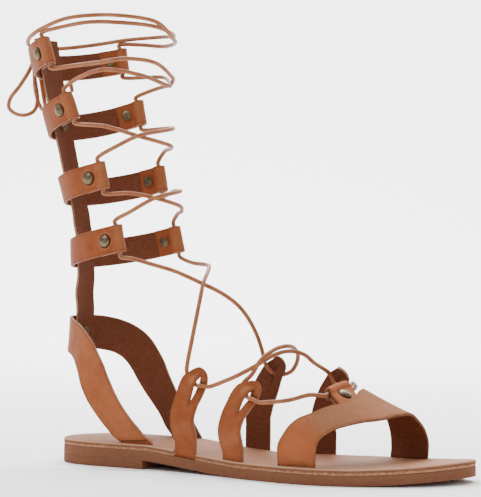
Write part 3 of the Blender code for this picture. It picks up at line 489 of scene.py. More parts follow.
def polar(degrees):
    """Cosine and sine."""
    return math.cos(math.radians(degrees)), math.sin(math.radians(degrees))


def unit(vector):
    return vector / np.linalg.norm(vector, axis=-1, keepdims=True)


def footbed(x):
    """Height of the insole's top."""
    return RISE(x) + OUTSOLE + GAP + INSOLE


def tuck(height):
    """Share of the foot's width that is left near the footbed, where the sides round under."""
    return 1 - BASE_TUCK * np.maximum(0.0, 1 - height / BASE_TUCK_HEIGHT) ** 2


def leg_point(z, angle, lift):
    """Point on the leg, lifted along the normal of its oval slice."""
    depth = LEG_DEPTH(z)
    width = LEG_WIDTH(z)
    c = np.cos(np.radians(angle))
    s = np.sin(np.radians(angle))
    normal = unit(np.stack((-c / depth, s / width, np.zeros_like(c + depth)), axis=-1))
    skin = np.stack((LEG_CENTRE(z) - depth * c, width * s, z + np.zeros_like(c)), axis=-1)
    return skin + np.expand_dims(np.asarray(lift), -1) * normal


def heel_point(run, z, side, lift):
    """Point on the heel: a quarter oval from the back, then straight on to the footbed's side."""
    angle = min(run / HEEL_QUARTER, 1.0) * 90
    point = leg_point(z, side * angle, lift)
    point[0] += max(run - HEEL_QUARTER, 0.0)
    inner_taper = HEEL_INNER_TAPER * max(run - HEEL_QUARTER, 0.0) if side > 0 else 0.0
    point[1] = side * (abs(point[1]) - inner_taper) * tuck(z - footbed(point[0]))
    return point


def foot_skin(x, angle):
    """Point on the foot's skin."""
    ridge = FOOT_RIDGE(x)
    s = np.sin(np.radians(angle))
    c = np.maximum(np.cos(np.radians(angle)), 0.0)
    bed = footbed(x)
    z = bed + c**FOOT_TOP_POWER * (FOOT_TOP(x) - bed)
    width = np.where(s < 0, ridge - FOOT_OUTER(x), FOOT_INNER(x) - ridge)
    y = ridge + np.sign(s) * np.abs(s) ** FOOT_SIDE_POWER * width
    return np.stack((x + np.zeros_like(y), y * tuck(z - bed), z), axis=-1)


def foot_normal(x, angle):
    """Outward normal of the foot's skin."""
    across = foot_skin(x, np.minimum(angle + 1.0, 89.9)) - foot_skin(x, np.maximum(angle - 1.0, -89.9))
    along = foot_skin(x + 1, angle) - foot_skin(x - 1, angle)
    return unit(np.cross(along, across))


def foot_point(x, angle, lift):
    return foot_skin(x, angle) + lift * foot_normal(x, angle)


def smooth(value, low, high):
    """Share from 0 at low to 1 at high, easing in and out."""
    share = np.clip((value - low) / (high - low), 0, 1)
    return share * share * (3 - 2 * share)


def spline(points, spacing):
    """Even points along a smooth curve through given points, in any number of dimensions."""
    nodes = np.array(points, float)
    padded = np.concatenate(([2 * nodes[0] - nodes[1]], nodes, [2 * nodes[-1] - nodes[-2]]))
    fine = []
    for p0, p1, p2, p3 in zip(padded, padded[1:], padded[2:], padded[3:]):
        for t in np.linspace(0, 1, 24, endpoint=False):
            fine.append(0.5 * (2 * p1 + (p2 - p0) * t + (2 * p0 - 5 * p1 + 4 * p2 - p3) * t**2
                               + (3 * p1 - p0 - 3 * p2 + p3) * t**3))
    fine.append(nodes[-1])
    return resample(np.array(fine), spacing)


def resample(points, spacing):
    """The same run with even spacing."""
    length = np.concatenate(([0], np.cumsum(np.linalg.norm(np.diff(points, axis=0), axis=1))))
    count = max(int(round(length[-1] / spacing)), 2)
    wanted = np.linspace(0, length[-1], count + 1)
    return np.stack([np.interp(wanted, length, column) for column in points.T], axis=1)


def columns(low, high, spacing=ACROSS, cut_low=True):
    """Places across or along a band, close together next to the edges that are cut."""
    inset = EDGE_COLUMNS[-1]
    edge = np.array(EDGE_COLUMNS[:-1])
    start = low + inset if cut_low else low
    stop = high - inset
    middle = np.linspace(start, stop, max(int((stop - start) / spacing), 2) + 1)
    return np.concatenate([low + edge] * cut_low + [middle, high - edge[::-1]])


def new_object(name, data):
    obj = bpy.data.objects.new(name, data)
    bpy.context.scene.collection.objects.link(obj)
    return obj


def add_mesh(name, verts, faces, shader, attributes=None):
    """Object from points in millimetres, with one material and named numbers for each point."""
    mesh = bpy.data.meshes.new(name)
    mesh.from_pydata([Vector(v) * MM for v in verts], [], faces)
    mesh.shade_smooth()
    for key, values in (attributes or {}).items():
        layer = mesh.attributes.new(key, "FLOAT", "POINT")
        layer.data.foreach_set("value", np.array(values, np.float32))
    mesh.materials.append(shader)
    return new_object(name, mesh)


def ring_faces(count, sides, closed=False):
    """Faces between rings of the same number of points, and at both ends where the piece is closed."""
    faces = []
    for i in range(count - 1):
        for k in range(sides):
            after = (k + 1) % sides
            faces.append((i * sides + k, i * sides + after, (i + 1) * sides + after, (i + 1) * sides + k))
    if closed:
        last = (count - 1) * sides
        faces += [list(range(sides))[::-1], list(range(last, last + sides))]
    return faces


def finish_piece(obj, slot, *nodes):
    """The piece stands for its nodes and rides on the sandal's one body; the slot is not used."""
    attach(obj, "root")
    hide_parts(*nodes)
    return obj


def grid_normals(grid, outward):
    """Normals of a grid of points, on the side that the outward guide points to."""
    along = np.gradient(grid, axis=0)
    across = np.gradient(grid, axis=1)
    normal = np.cross(along, across)
    normal = normal / np.maximum(np.linalg.norm(normal, axis=-1, keepdims=True), 1e-9)
    return normal * outward


def leather(name, grid, guide, shader, slot, skip=(), rivets=(), creases=(), sheen_and_pale=None, node=None):
    """Strap of real thickness from a grid of mid-surface points, with the guide's normal on its outer side.

    Cut edges are rounded, rivets are pressed in, and each crease is a trough, or a ridge if its depth is minus,
    from one point to another: start, end, width, depth.
    """
    grid = np.array(grid)
    m, n = grid.shape[:2]
    outward = outward_sign(grid, guide)
    normal = grid_normals(grid, outward)
    cells = np.ones((m - 1, n - 1), bool)
    for i, j in skip:
        cells[i, j] = False
    open_edges = []
    for i in range(m - 1):
        for j in range(n - 1):
            if not cells[i, j]:
                continue
            ring = ((i, j), (i + 1, j), (i + 1, j + 1), (i, j + 1))
            beside = ((i, j - 1), (i + 1, j), (i, j + 1), (i - 1, j))
            for k in range(4):
                a, b = beside[k]
                if not (0 <= a < m - 1 and 0 <= b < n - 1 and cells[a, b]):
                    open_edges.append((ring[k], ring[(k + 1) % 4]))
    tree_points = []
    for a, b in open_edges:
        length = np.linalg.norm(grid[a] - grid[b])
        for t in np.linspace(0, 1, max(int(length / RIM_STEP), 1), endpoint=False):
            tree_points.append(grid[a] * (1 - t) + grid[b] * t)
    tree = KDTree(len(tree_points))
    for index, point in enumerate(tree_points):
        tree.insert(point, index)
    tree.balance()
    edge = np.array([[tree.find(grid[i, j])[2] for j in range(n)] for i in range(m)])
    rounding = np.clip(1 - edge / EDGE_ROUND, 0, 1)
    half = LEATHER / 2 * (RIM_HALF + (1 - RIM_HALF) * np.sqrt(1 - rounding**2))
    ring_far = np.full((m, n), NO_RIVET)
    press = np.zeros((m, n))
    for point, axis in rivets:
        away = grid - point
        up = away @ axis
        radial = np.linalg.norm(away - up[..., None] * axis, axis=-1)
        radial = np.where(np.abs(up) < LEATHER * 0.8, radial, NO_RIVET)
        ring_far = np.minimum(ring_far, radial)
        press += DISH_DEPTH * np.exp(-((radial / DISH_RADIUS) ** 6))
        press -= RING_HEIGHT * np.exp(-(((radial - RING_RADIUS) / RING_WIDTH) ** 2))
    lift = np.array([[noise.noise(Vector(p) * WAVE_SCALE) for p in row] for row in grid]) * WAVE_HEIGHT
    for start, end, width, depth in creases:
        start = np.array(start)
        run = np.array(end) - start
        share = np.clip((grid - start) @ run / np.dot(run, run), 0, 1)
        away = np.linalg.norm(grid - start - share[..., None] * run, axis=-1)
        fade = np.sin(np.pi * np.clip(share, 0.08, 0.92)) ** 0.5
        lift = lift - depth * fade * np.exp(-((away / width) ** 2))
    outer = grid + normal * (half - press + lift)[..., None]
    inner = grid - normal * (half - lift)[..., None]
    verts = [*outer.reshape(-1, 3), *inner.reshape(-1, 3)]
    face_side = [1.0] * (m * n) + [-1.0] * (m * n)
    edges = list(edge.ravel()) * 2
    rings = list(ring_far.ravel()) + [NO_RIVET] * (m * n)
    pale = np.zeros((m, n)) if sheen_and_pale is None else np.array(sheen_and_pale)
    pales = list(pale.ravel()) * 2
    rim = {}
    for a, b in open_edges:
        for place in (a, b):
            if place not in rim:
                rim[place] = len(verts)
                verts.append(grid[place] + normal[place] * lift[place])
                face_side.append(0.0)
                edges.append(0.0)
                rings.append(NO_RIVET)
                pales.append(0.0)
    faces = []

    def top(place):
        return place[0] * n + place[1]

    for i in range(m - 1):
        for j in range(n - 1):
            if cells[i, j]:
                quad = [(i, j), (i + 1, j), (i + 1, j + 1), (i, j + 1)]
                if outward < 0:
                    quad.reverse()
                faces.append([top(place) for place in quad])
                faces.append([top(place) + m * n for place in reversed(quad)])
    for a, b in open_edges:
        if outward < 0:
            a, b = b, a
        faces.append([top(b), top(a), rim[a], rim[b]])
        faces.append([rim[b], rim[a], top(a) + m * n, top(b) + m * n])
    obj = add_mesh(name, verts, faces, shader, {"edge": edges, "side": face_side, "ring": rings, "sheen_and_pale": pales})
    tidy_mesh(obj.data)
    return finish_piece(obj, slot, node or name)


def opened(mesh):
    bm = bmesh.new()
    bm.from_mesh(mesh)
    return bm


def closed(bm, mesh):
    bm.to_mesh(mesh)
    bm.free()


def tidy_mesh(mesh):
    """Drop points without a face, weld doubles and turn all faces outward."""
    bm = opened(mesh)
    loose = [v for v in bm.verts if not v.link_faces]
    bmesh.ops.delete(bm, geom=loose, context="VERTS")
    bmesh.ops.remove_doubles(bm, verts=bm.verts, dist=WELD)
    bmesh.ops.recalc_face_normals(bm, faces=bm.faces)
    closed(bm, mesh)
    mesh.shade_smooth()


def ruled(low, high, places):
    """Row of points across a band from its low edge to its high edge, places in shares."""
    return [low + (high - low) * place for place in places]


def shares(width):
    """Places across a band as shares of its width."""
    return columns(0.0, width) / width


def rooted(low, high):
    """Edge points that carry a strap's base from the footbed down into its slot."""
    rows = []
    for height in (BASE_ABOVE, -INSOLE + BASE_BELOW):
        rows.append([np.array((p[0], p[1], footbed(p[0]) + height)) for p in (low, high)])
    return rows


def base_rows(row):
    """Rows of a strap's base, spread like its lowest row."""
    low, high = row[0], row[-1]
    span = high - low
    flat = [np.dot(p - low, span) / np.dot(span, span) for p in row]
    return [[a + (b - a) * share for share in flat] for a, b in rooted(low, high)]


def fold_centre(extreme, lift):
    """Run and height of the middle of the lace inside a folded end."""
    return extreme - FOLD_RADIUS - LEATHER / 2, lift - LAYER_STEP / 2 - 0.1


def fold_profile(extreme, lift, rivet, tail):
    """Rows of run and height of a folded end: out to the fold, round the lace and back under itself."""
    run, height = fold_centre(extreme, lift)
    under = lift - LAYER_STEP
    shoulder = FOLD_RADIUS * 0.93
    profile = [(rivet - 1, lift), (run - FOLD_NECK, lift + 0.1), (run - 1.4, height + shoulder)]
    for c, s in map(polar, np.linspace(90, -90, 7)):
        profile.append((run + FOLD_RADIUS * c, height + FOLD_RADIUS * s))
    profile += [(run - 1.4, height - shoulder), (run - FOLD_NECK, under - 0.1), (rivet - 1, under), (tail, under)]
    return profile


class CuffPath:
    """Runs along a cuff, measured from the middle of its back."""

    def __init__(self, fold_z, back_z, fold_angle):
        self.fold_z = fold_z
        self.back_z = back_z
        self.fold_angle = fold_angle
        self.angles = np.linspace(0, 150, 151)
        points = np.array([leg_point(self.height(a), a, LIFT_TWO) for a in self.angles])
        steps = np.linalg.norm(np.diff(points, axis=0), axis=1)
        self.runs = np.concatenate(([0], np.cumsum(steps)))
        self.extreme = self.run(fold_angle)

    def height(self, angle):
        share = (1 - math.cos(math.radians(angle))) / (1 - math.cos(math.radians(self.fold_angle)))
        return self.back_z + (self.fold_z - self.back_z) * share

    def run(self, angle):
        return float(np.interp(angle, self.angles, self.runs))

    def point(self, run, lift, side):
        angle = float(np.interp(run, self.runs, self.angles))
        return leg_point(self.height(angle), side * angle, lift)

    def frame(self, run, lift, side):
        """Point, outward normal and direction across the cuff."""
        point = self.point(run, lift, side)
        along = unit(self.point(run + 0.5, lift, side) - self.point(max(run - 0.5, 0.0), lift, side))
        angle = side * float(np.interp(run, self.runs, self.angles))
        rise = leg_point(point[2] + 1, angle, lift) - leg_point(point[2] - 1, angle, lift)
        normal = unit(np.cross(rise, along)) * side
        return point, normal, np.cross(normal, along) * side


def cuff(name, path, shader):
    """One cuff from its outer tail round the leg to its inner tail."""
    rivet = path.extreme - CUFF_RIVET_BACK
    profile = spline(fold_profile(path.extreme, LIFT_TWO, rivet, path.extreme - CUFF_TAIL), FOLD_SPACING)
    across = columns(-CUFF_WIDTH / 2, CUFF_WIDTH / 2)

    def row(run, lift, side):
        point, _, width = path.frame(run, lift, side)
        return [point + width * v for v in across]

    tail = profile[-1]
    cut_end = [profile[-1] + (profile[-2] - profile[-1]) * share for share in CUT_END]
    profile = [*profile[:-1], *cut_end[::-1], tail]
    body = np.linspace(0, rivet - 1, int((rivet - 1) / ALONG) + 1)[:-1]
    rows = [row(run, lift, -1) for run, lift in reversed(profile)]
    rows += [row(run, LIFT_TWO, -1) for run in reversed(body[1:])]
    rows += [row(run, LIFT_TWO, 1) for run in body]
    rows += [row(run, lift, 1) for run, lift in profile]
    rivets = [path.frame(rivet, LIFT_TWO, side)[:2] for side in (-1, 1)] + [path.frame(0.0, LIFT_TWO, 1)[:2]]
    creases = []
    for side in (-1, 1):
        for run, lean, width, depth in CUFF_CREASES:
            run += path.extreme if run < 0 else 0.0
            ends = []
            for v in (-CUFF_WIDTH / 2, CUFF_WIDTH / 2):
                point, _, width_way = path.frame(run + lean * v / CUFF_WIDTH, LIFT_TWO, side)
                ends.append(point + width_way * v)
            creases.append((*ends, width, depth))
    # Painted highlight along the bulge of each fold
    start, full = path.extreme - FOLD_SHEEN_START, path.extreme - FOLD_SHEEN_FULL
    fold_sheen = [smooth(run, start, full) * FOLD_SHEEN for run, _ in profile]
    sheen_and_pale = np.array(fold_sheen[::-1] + [0.0] * (len(rows) - 2 * len(profile)) + fold_sheen)
    sheen_and_pale = np.repeat(sheen_and_pale[:, None], len(across), axis=1)
    return leather(name, rows, rivets[2], shader, "straps", rivets=rivets, creases=creases, sheen_and_pale=sheen_and_pale)


def outward_sign(grid, guide):
    """Which side of the grid the guide's normal is on: its point and normal lie near the grid."""
    point, normal = guide
    away = np.linalg.norm(grid - point, axis=-1)
    i, j = np.unravel_index(np.argmin(away), away.shape)
    i = min(max(i, 1), grid.shape[0] - 2)
    j = min(max(j, 1), grid.shape[1] - 2)
    face = np.cross(grid[i + 1, j] - grid[i - 1, j], grid[i, j + 1] - grid[i, j - 1])
    return 1 if np.dot(face, normal) > 0 else -1


def heel_strap(shader):
    keyed = [(i,) + row for i, row in enumerate(HEEL_STRAP)]
    low_run, low_z, high_run, high_z = curves(keyed, 4)
    lift_at = Curve(HEEL_STRAP_LIFT, 1)

    def half(side):
        rows = []
        for u in np.linspace(0, len(HEEL_STRAP) - 1, 100):
            lift = lift_at(low_run(u))
            rows.append((heel_point(float(low_run(u)), low_z(u), side, lift),
                         heel_point(float(high_run(u)), high_z(u), side, lift)))
        base = rooted(*rows[-1])
        path = [np.concatenate(pair) for pair in rows[:-3:6] + [rows[-5]] + base]
        return spline(path, ALONG)

    outer = half(-1)
    inner = half(1)
    across = shares(HEEL_STRAP_WIDTH)
    rows = [ruled(pair[:3], pair[3:], across) for pair in [*reversed(outer), *inner[1:]]]
    seat = heel_point(0.0, HEEL_RIVET_Z, 1, LIFT_TWO)
    creases = []
    for run, z, run_end, z_end, width, depth in HEEL_CREASES:
        for side in (-1, 1):
            creases.append((heel_point(run, z, side, LIFT_ONE), heel_point(run_end, z_end, side, LIFT_ONE),
                            width, depth))
    rivets = [(seat, BACKWARDS)]
    leather("heel_strap", rows, rivets[0], shader, "straps", rivets=rivets, creases=creases)
    return (outer[-1][:3], outer[-1][3:]), (inner[-1][:3], inner[-1][3:])


def spine_strap(shader):
    lift = Curve(SPINE, 1)
    heights = columns(SPINE[0][0], SPINE[-1][0], SPINE_SPACING)
    angles = shares(SPINE_WIDTH) * 2 * SPINE_HALF_ANGLE - SPINE_HALF_ANGLE
    rows = [[leg_point(z, angle, lift(z)) for angle in angles] for z in heights]
    guide = (leg_point(160.0, 0.0, LIFT_ONE), BACKWARDS)
    leather("spine_strap", rows, guide, shader, "straps")


def swell(from_tip, start, full):
    """Share of a branch's bulge: it rises from start to full and is gone at the slit's lower end."""
    end = SLIT_FROM_TIP + SLIT_LENGTH
    return smooth(from_tip, start, full) * smooth(-from_tip, -end, -BRANCH_FALL)


class SideStrap:
    """Mid-surface of a side strap, measured as a run from the footbed to the tip."""

    def __init__(self, path_rows):
        self.side = 1 if path_rows[0][0] > 0 else -1
        path = sorted((self.side * angle, x) for angle, x in path_rows)
        self.x_at = Curve(path, 1)
        reach = INNER_REACH_ANGLE if self.side > 0 else 0.0
        self.angles = np.linspace(path[-1][0] - 3 - reach, path[0][0], 80)
        places = self.place(self.angles)
        self.runs = np.concatenate(([0], np.cumsum(np.linalg.norm(np.diff(places, axis=0), axis=1))))
        self.total = self.runs[-1] - (OUTER_TRIM if self.side < 0 else 0.0)

    def place(self, angle, lift=LIFT_ONE):
        return foot_point(self.x_at(angle), self.side * angle, lift)

    def frame(self, run):
        """Point, outward normal and direction across the strap to its front edge."""
        angle, low, high = (float(np.interp(place, self.runs, self.angles)) for place in (run, run - 1, run + 1))
        point = self.place(angle)
        along = unit(self.place(high, 0.0) - self.place(low, 0.0))
        normal = foot_normal(point[0], self.side * angle)
        normal = unit(normal - along * np.dot(normal, along))
        if self.side > 0:
            point = point + normal * INNER_HEAD_LIFT * (1 - smooth(self.total - run, 0.0, INNER_HEAD_RUN))
        return point, normal, np.cross(normal, along) * self.side

    def row(self, run, rear, front):
        """Points across the strap: shares of its rear branch, then of its front branch."""
        point, normal, across = self.frame(run)
        from_tip = self.total - run
        half = SIDE_STRAP_WIDTH / 2 * (1 - HEAD_TAPER * (1 - smooth(from_tip, *HEAD_TAPER_ENDS)))
        if from_tip < half:
            half = math.sqrt(max(half**2 - (half - from_tip) ** 2, 0.01))
        slit_at = SLIT_ACROSS * half / (SIDE_STRAP_WIDTH / 2)
        # Half the slit, which narrows towards both of its ends
        inner = min(SLIT_WIDTH / 2, half * 0.3)
        in_slit = (from_tip - SLIT_FROM_TIP) / SLIT_LENGTH
        inner *= 0.15 + 0.85 * math.sin(math.pi * min(max(in_slit, 0.0), 1.0)) ** 0.5
        out = BRANCH_OUT * swell(from_tip, 0.0, SLIT_FROM_TIP)
        out_at_slit = BRANCH_OUT * swell(from_tip, SLIT_FROM_TIP - 1, SLIT_FROM_TIP + 3)
        dip = -BRANCH_IN * swell(from_tip, SLIT_FROM_TIP, SLIT_FROM_TIP + 4)
        points = []
        half_rear = half * (1 - REAR_NOTCH * (1 - smooth(from_tip, *REAR_NOTCH_ENDS)))
        for share in rear:
            v = -half_rear + (slit_at - inner + half_rear) * share
            points.append(point + across * v + normal * (out + (out_at_slit - out) * smooth(share, 0, 1)))
        for share in front:
            v = slit_at + inner + (half - slit_at - inner) * share
            points.append(point + across * v + normal * dip)
        return points

    def build(self, name, shader):
        half = SIDE_STRAP_WIDTH / 2
        rear = shares(half + SLIT_ACROSS)
        front = shares(half - SLIT_ACROSS)
        runs = columns(0.0, self.total - 0.02, ALONG * 0.8, cut_low=False)
        rows = [self.row(run, rear, front) for run in runs]
        down = base_rows(rows[0])
        rows = [down[1], [(p + q) / 2 for p, q in zip(*down)], down[0], *rows]
        from_tip = self.total - runs
        slit = [i + 3 for i, t in enumerate(from_tip) if SLIT_FROM_TIP < t < SLIT_FROM_TIP + SLIT_LENGTH]
        skip = [(i, len(rear) - 1) for i in range(slit[0] - 1, slit[-1] + 1)]
        point, normal, _ = self.frame(self.total * 0.3)
        creases = []
        for run, v, run_end, v_end, width, depth in SIDE_CREASES:
            ends = []
            for from_base, sideways in ((run, v), (run_end, v_end)):
                if from_base < 0:
                    from_base += self.total
                place, _, across_way = self.frame(from_base)
                ends.append(place + across_way * sideways)
            creases.append((*ends, width, depth))
        rise = np.concatenate(([-INSOLE, -1.0, 0.0], runs))
        mark = np.concatenate((-half + (half + SLIT_ACROSS) * rear, SLIT_ACROSS + (half - SLIT_ACROSS) * front))
        tip = (self.total - rise)[:, None]
        # Painted highlight where the head's rear branch bulges beside the lace, then a paler band near the footbed
        share, from_end, reach, sideways, width = HEAD_SHEEN
        sheen_and_pale = share * np.exp(-(((tip - from_end) / reach) ** 2 + ((mark[None, :] - sideways) / width) ** 2))
        share, from_end, reach, front_limit = FOOT_PALE
        sheen_and_pale += share * np.exp(-((rise[:, None] - from_end) / reach) ** 2) * (mark[None, :] < front_limit)
        leather(name, rows, (point, normal), shader, "straps", skip=skip, creases=creases, sheen_and_pale=sheen_and_pale)
        return down[1][0], down[1][-1]

    def spot(self, into, sideways, lift):
        """Point beside the slit: share of its length from its top, distance to the front, height."""
        point, normal, across = self.frame(self.total - SLIT_FROM_TIP - SLIT_LENGTH * into)
        return point + across * sideways + normal * lift


def toe_point(angle, share):
    """Point of the toe strap, at a share of its width from the rear edge."""
    return foot_point(TOE_REAR(angle) + (TOE_FRONT(angle) - TOE_REAR(angle)) * share, angle, LIFT_ONE)


def toe_strap(shader):
    """Toe strap, and the tab at its rear edge folded under into a loop."""
    tab_middle = (TAB_FIRST + TAB_LAST) / 2
    angles = np.concatenate((np.linspace(-TOE_STRAP_END, TAB_FIRST, 62), np.linspace(TAB_FIRST, TAB_LAST, 15)[1:],
                             np.linspace(TAB_LAST, TOE_STRAP_END, 98)[1:]))
    across = shares(TOE_STRAP_WIDTH)
    rows = [[toe_point(a, share) for share in across] for a in angles]
    rows = [*reversed(base_rows(rows[0])), *rows, *base_rows(rows[-1])]
    guide = (foot_point(170.0, 20.0, LIFT_ONE), foot_normal(170.0, 20.0))
    edge = [foot_point(float(TAB_EDGE(a)), a, LIFT_ONE) for a in np.linspace(TAB_FIRST, TAB_LAST, 4)]
    normal = foot_normal(float(TAB_EDGE(tab_middle)) - TAB_LENGTH / 2, tab_middle)
    out = np.array((*TAB_DIRECTION, 0.0))
    out = unit(out - np.array((0, 0, 1)) * np.dot(out, normal) / normal[2])
    rivet = ((edge[1] + edge[2]) / 2 + out * TAB_RIVET, normal)
    creases = [(toe_point(angle, share), toe_point(angle_end, share_end), width, depth)
               for angle, share, angle_end, share_end, width, depth in TOE_CREASES]
    all_angles = np.concatenate(([-90, -90], angles, [90, 90]))
    # Painted light: the strap's top is paler where it faces up, and half of that fades towards the inner side
    sheen_and_pale = smooth(all_angles[:, None] + TOE_LIT_LEAN * across[None, :], *TOE_LIT_TOP)
    sheen_and_pale *= 1 - 0.5 * smooth(all_angles, *TOE_LIT_FADE)[:, None]
    leather("toe_strap", rows, guide, shader, "toe_strap", rivets=[rivet], creases=creases, sheen_and_pale=sheen_and_pale)

    profile = spline([(-3.0, -0.6), *fold_profile(TAB_LENGTH, 0.0, TAB_RIVET, TAB_RIVET - TAB_TAIL)], FOLD_SPACING)
    tab_columns = columns(0.0, np.linalg.norm(edge[3] - edge[0]))
    run_at = np.array([np.linalg.norm(p - edge[0]) for p in edge])
    line = np.stack([np.interp(tab_columns, run_at, [p[k] for p in edge]) for k in range(3)], axis=1)
    tab_rows = [[p + out * run + normal * lift for p in line] for run, lift in profile]
    leather("toe_tab", tab_rows, rivet, shader, "toe_strap", rivets=[rivet], node="toe_strap")
    fold_run, fold_lift = fold_centre(TAB_LENGTH, 0.0)
    inside = [p + out * fold_run + normal * fold_lift for p in edge]
    mouths = [inside[0] * (1 + TAB_MOUTH) - inside[1] * TAB_MOUTH, *inside,
              inside[-1] * (1 + TAB_MOUTH) - inside[-2] * TAB_MOUTH]
    return [(row[0], row[-1]) for row in (rows[0], rows[-1])], rivet, mouths


def lathe(profile, sides):
    """Turned mesh from rows of radius and height; the first and last rows close on the axis."""
    verts = []
    for radius, height in profile:
        for k in range(sides):
            turn = 2 * math.pi * k / sides
            verts.append((radius * math.cos(turn), radius * math.sin(turn), height))
    return verts, ring_faces(len(profile), sides)


def rivet(name, point, normal, stack, shader):
    """Domed cap with a turned-down rim, shank and flat back."""
    cap = RIVET_CAP / 2
    back = RIVET_BACK / 2
    end = -stack - 2 * RIVET_ROOM - RIVET_BACK_THICK
    dome = [(0.001, RIVET_DOME)]
    for share in np.linspace(0.08, 1, 14):
        dome.append((cap * share * 0.985, 0.25 + (RIVET_DOME - 0.25) * math.cos(share * math.pi / 2) ** 0.85))
    # Rim, underside, shank and flat back, as radius and height
    profile = dome + [(cap, 0.12), (cap, -0.12), (cap * 0.97, -0.2), (1.2, -0.2), (1.2, end + RIVET_BACK_THICK),
                      (back * 0.97, end + RIVET_BACK_THICK), (back, end + 0.35), (back * 0.97, end + 0.1),
                      (back * 0.9, end), (0.001, end)]
    verts, faces = lathe(profile, RIVET_SIDES)
    turn = Vector(normal).to_track_quat("Z", "X").to_matrix()
    base = Vector(point + normal * (LEATHER / 2 + RIVET_ROOM * 0.35))
    placed = [turn @ Vector(v) + base for v in verts]
    obj = add_mesh(name, placed, faces, shader)
    tidy_mesh(obj.data)
    return finish_piece(obj, "rivets", name)


def tube(name, points, shader, node):
    """Round lace swept along even points, with closed and slightly rounded ends."""
    points = np.array(points)
    tangents = unit(np.gradient(points, axis=0))
    side = unit(np.cross(tangents[0], (0.3, 0.2, 0.9)))
    verts = []
    run = np.concatenate(([0], np.cumsum(np.linalg.norm(np.diff(points, axis=0), axis=1))))
    turns = []
    rings = [(points[0] + tangents[0] * a, tangents[0], b, 0.0) for a, b in TUBE_CAP]
    rings += [(p, t, 1.0, r) for p, t, r in zip(points[1:-1], tangents[1:-1], run[1:-1])]
    rings += [(points[-1] - tangents[-1] * a, tangents[-1], b, run[-1]) for a, b in reversed(TUBE_CAP)]
    for centre, tangent, share, at in rings:
        side = unit(side - tangent * np.dot(side, tangent))
        other = np.cross(tangent, side)
        pulse = 1 + LACE_PULSE * noise.noise(Vector(centre) * LACE_PULSE_SCALE)
        for k in range(TUBE_SIDES):
            turn = 2 * math.pi * k / TUBE_SIDES
            r = LACE / 2 * share * pulse * (1 + LACE_OVAL * math.cos(2 * turn + at * LACE_OVAL_TURN))
            verts.append(centre + (side * math.cos(turn) + other * math.sin(turn)) * r)
            turns.append(math.cos(turn))
    obj = add_mesh(name, verts, ring_faces(len(rings), TUBE_SIDES, closed=True), shader, {"turn": turns})
    tidy_mesh(obj.data)
    return finish_piece(obj, "lace", node)


def loop_mouth(paths, loop):
    """Points of a lace inside a cuff's loop, at its mouth and where it has led straight out."""
    number, side, end = loop
    path = paths[number]
    fold_run, fold_lift = fold_centre(path.extreme, LIFT_TWO)
    point, _, up = path.frame(fold_run, fold_lift, side)
    up = up * math.copysign(1.0, up[2]) * end
    return [point + up * 0.3, point + up * LOOP_HALF, point + up * (CUFF_WIDTH / 2 + LOOP_LEAD)]


def leg_line(rows, over, back=0.0):
    """Lace points on the leg; the middle of a run that lies over another is lifted."""
    count = len(rows) - 1
    line = []
    for i, (angle, z) in enumerate(rows):
        near_back = max(0.0, 1 - abs((angle + 180) % 360 - 180) / BACK_LACE_REACH)
        lift = LACE_SKIN + over * math.sin(math.pi * (i + 1) / (count + 2)) + back * near_back
        centre, reach, pull = FRONT_PULL
        lift -= pull * math.exp(-(((angle - centre + 180) % 360 - 180) / reach) ** 2)
        line.append(leg_point(float(z), float(angle), lift))
    return line


def leg_lace(paths, run, over):
    start, rows, end = run
    return [*loop_mouth(paths, start), *leg_line(rows, over), *reversed(loop_mouth(paths, end))]


def top_lace(paths, run, over):
    start, rows = run
    line = [*loop_mouth(paths, start), *leg_line(rows, over, BACK_LACE_LIFT)]
    side = math.copysign(1.0, line[-1][1])
    return line + [KNOT + unit(np.array((0.35, 0.94 * side, 0.0))) * TOP_LACE_ROOT]


def foot_laces(paths, straps, tab_mouths):
    """Name and lines of the laces over the ankle and the instep, joined inside the slits."""
    under = {}
    over = {}
    for name, strap in straps.items():
        under[name] = [strap.spot(*place) for place in UNDER_REAR_BRANCH]
        over[name] = [strap.spot(*place) for place in (OVER_FRONT_BRANCH if strap.side < 0 else OVER_INNER_BRANCH)]
        middle = (under[name][0] + over[name][0]) / 2
        under[name].insert(0, middle)
        over[name].insert(0, middle)
    outer_rear, outer_front, inner_rear, inner_front = (name for name, _ in SIDE_STRAPS)
    to_outer = [*loop_mouth(paths, (3, 1, -1)), *ANKLE_TO_OUTER, *reversed(under[outer_rear])]
    to_inner = [*loop_mouth(paths, (3, -1, -1)), *ANKLE_TO_INNER, *reversed(under[inner_rear])]
    a = [*over[outer_rear], *OUTER_TO_INNER, *reversed(under[inner_front])]
    b = [*over[inner_rear], *INNER_TO_OUTER, *reversed(under[outer_front])]
    c = [*over[outer_front], *OUTER_TO_TAB, *tab_mouths, *TAB_TO_INNER, *reversed(over[inner_front])]
    return (("lace_cross_4", (to_outer, to_inner)), ("lace_cross_5", (a, b)), ("lace_toe_run", (c,)))


def bow(shader):
    """Knot wound from the lace, with two loops and two ends."""
    deep, wide, tall = KNOT_RADII
    turns = []
    for t in np.linspace(0, 2 * KNOT_TURNS * math.pi, KNOT_STEPS):
        turns.append(KNOT + np.array((math.cos(t) * deep - KNOT_SHIFT, (t / math.pi - KNOT_TURNS) * wide,
                                      math.sin(t) * tall)))
    knot = tube("bow_knot_wound", spline(turns, 0.6), shader, "bow_knot")
    for name, out, rows, back in BOW:
        line = [KNOT + unit(np.array(out)) * KNOT_ROOT, *rows]
        if back is not None:
            line.append(KNOT + unit(np.array(back)) * KNOT_ROOT)
        path = spline(line, TUBE_SPACING)
        piece = tube(name + "_lace", path, shader, name)


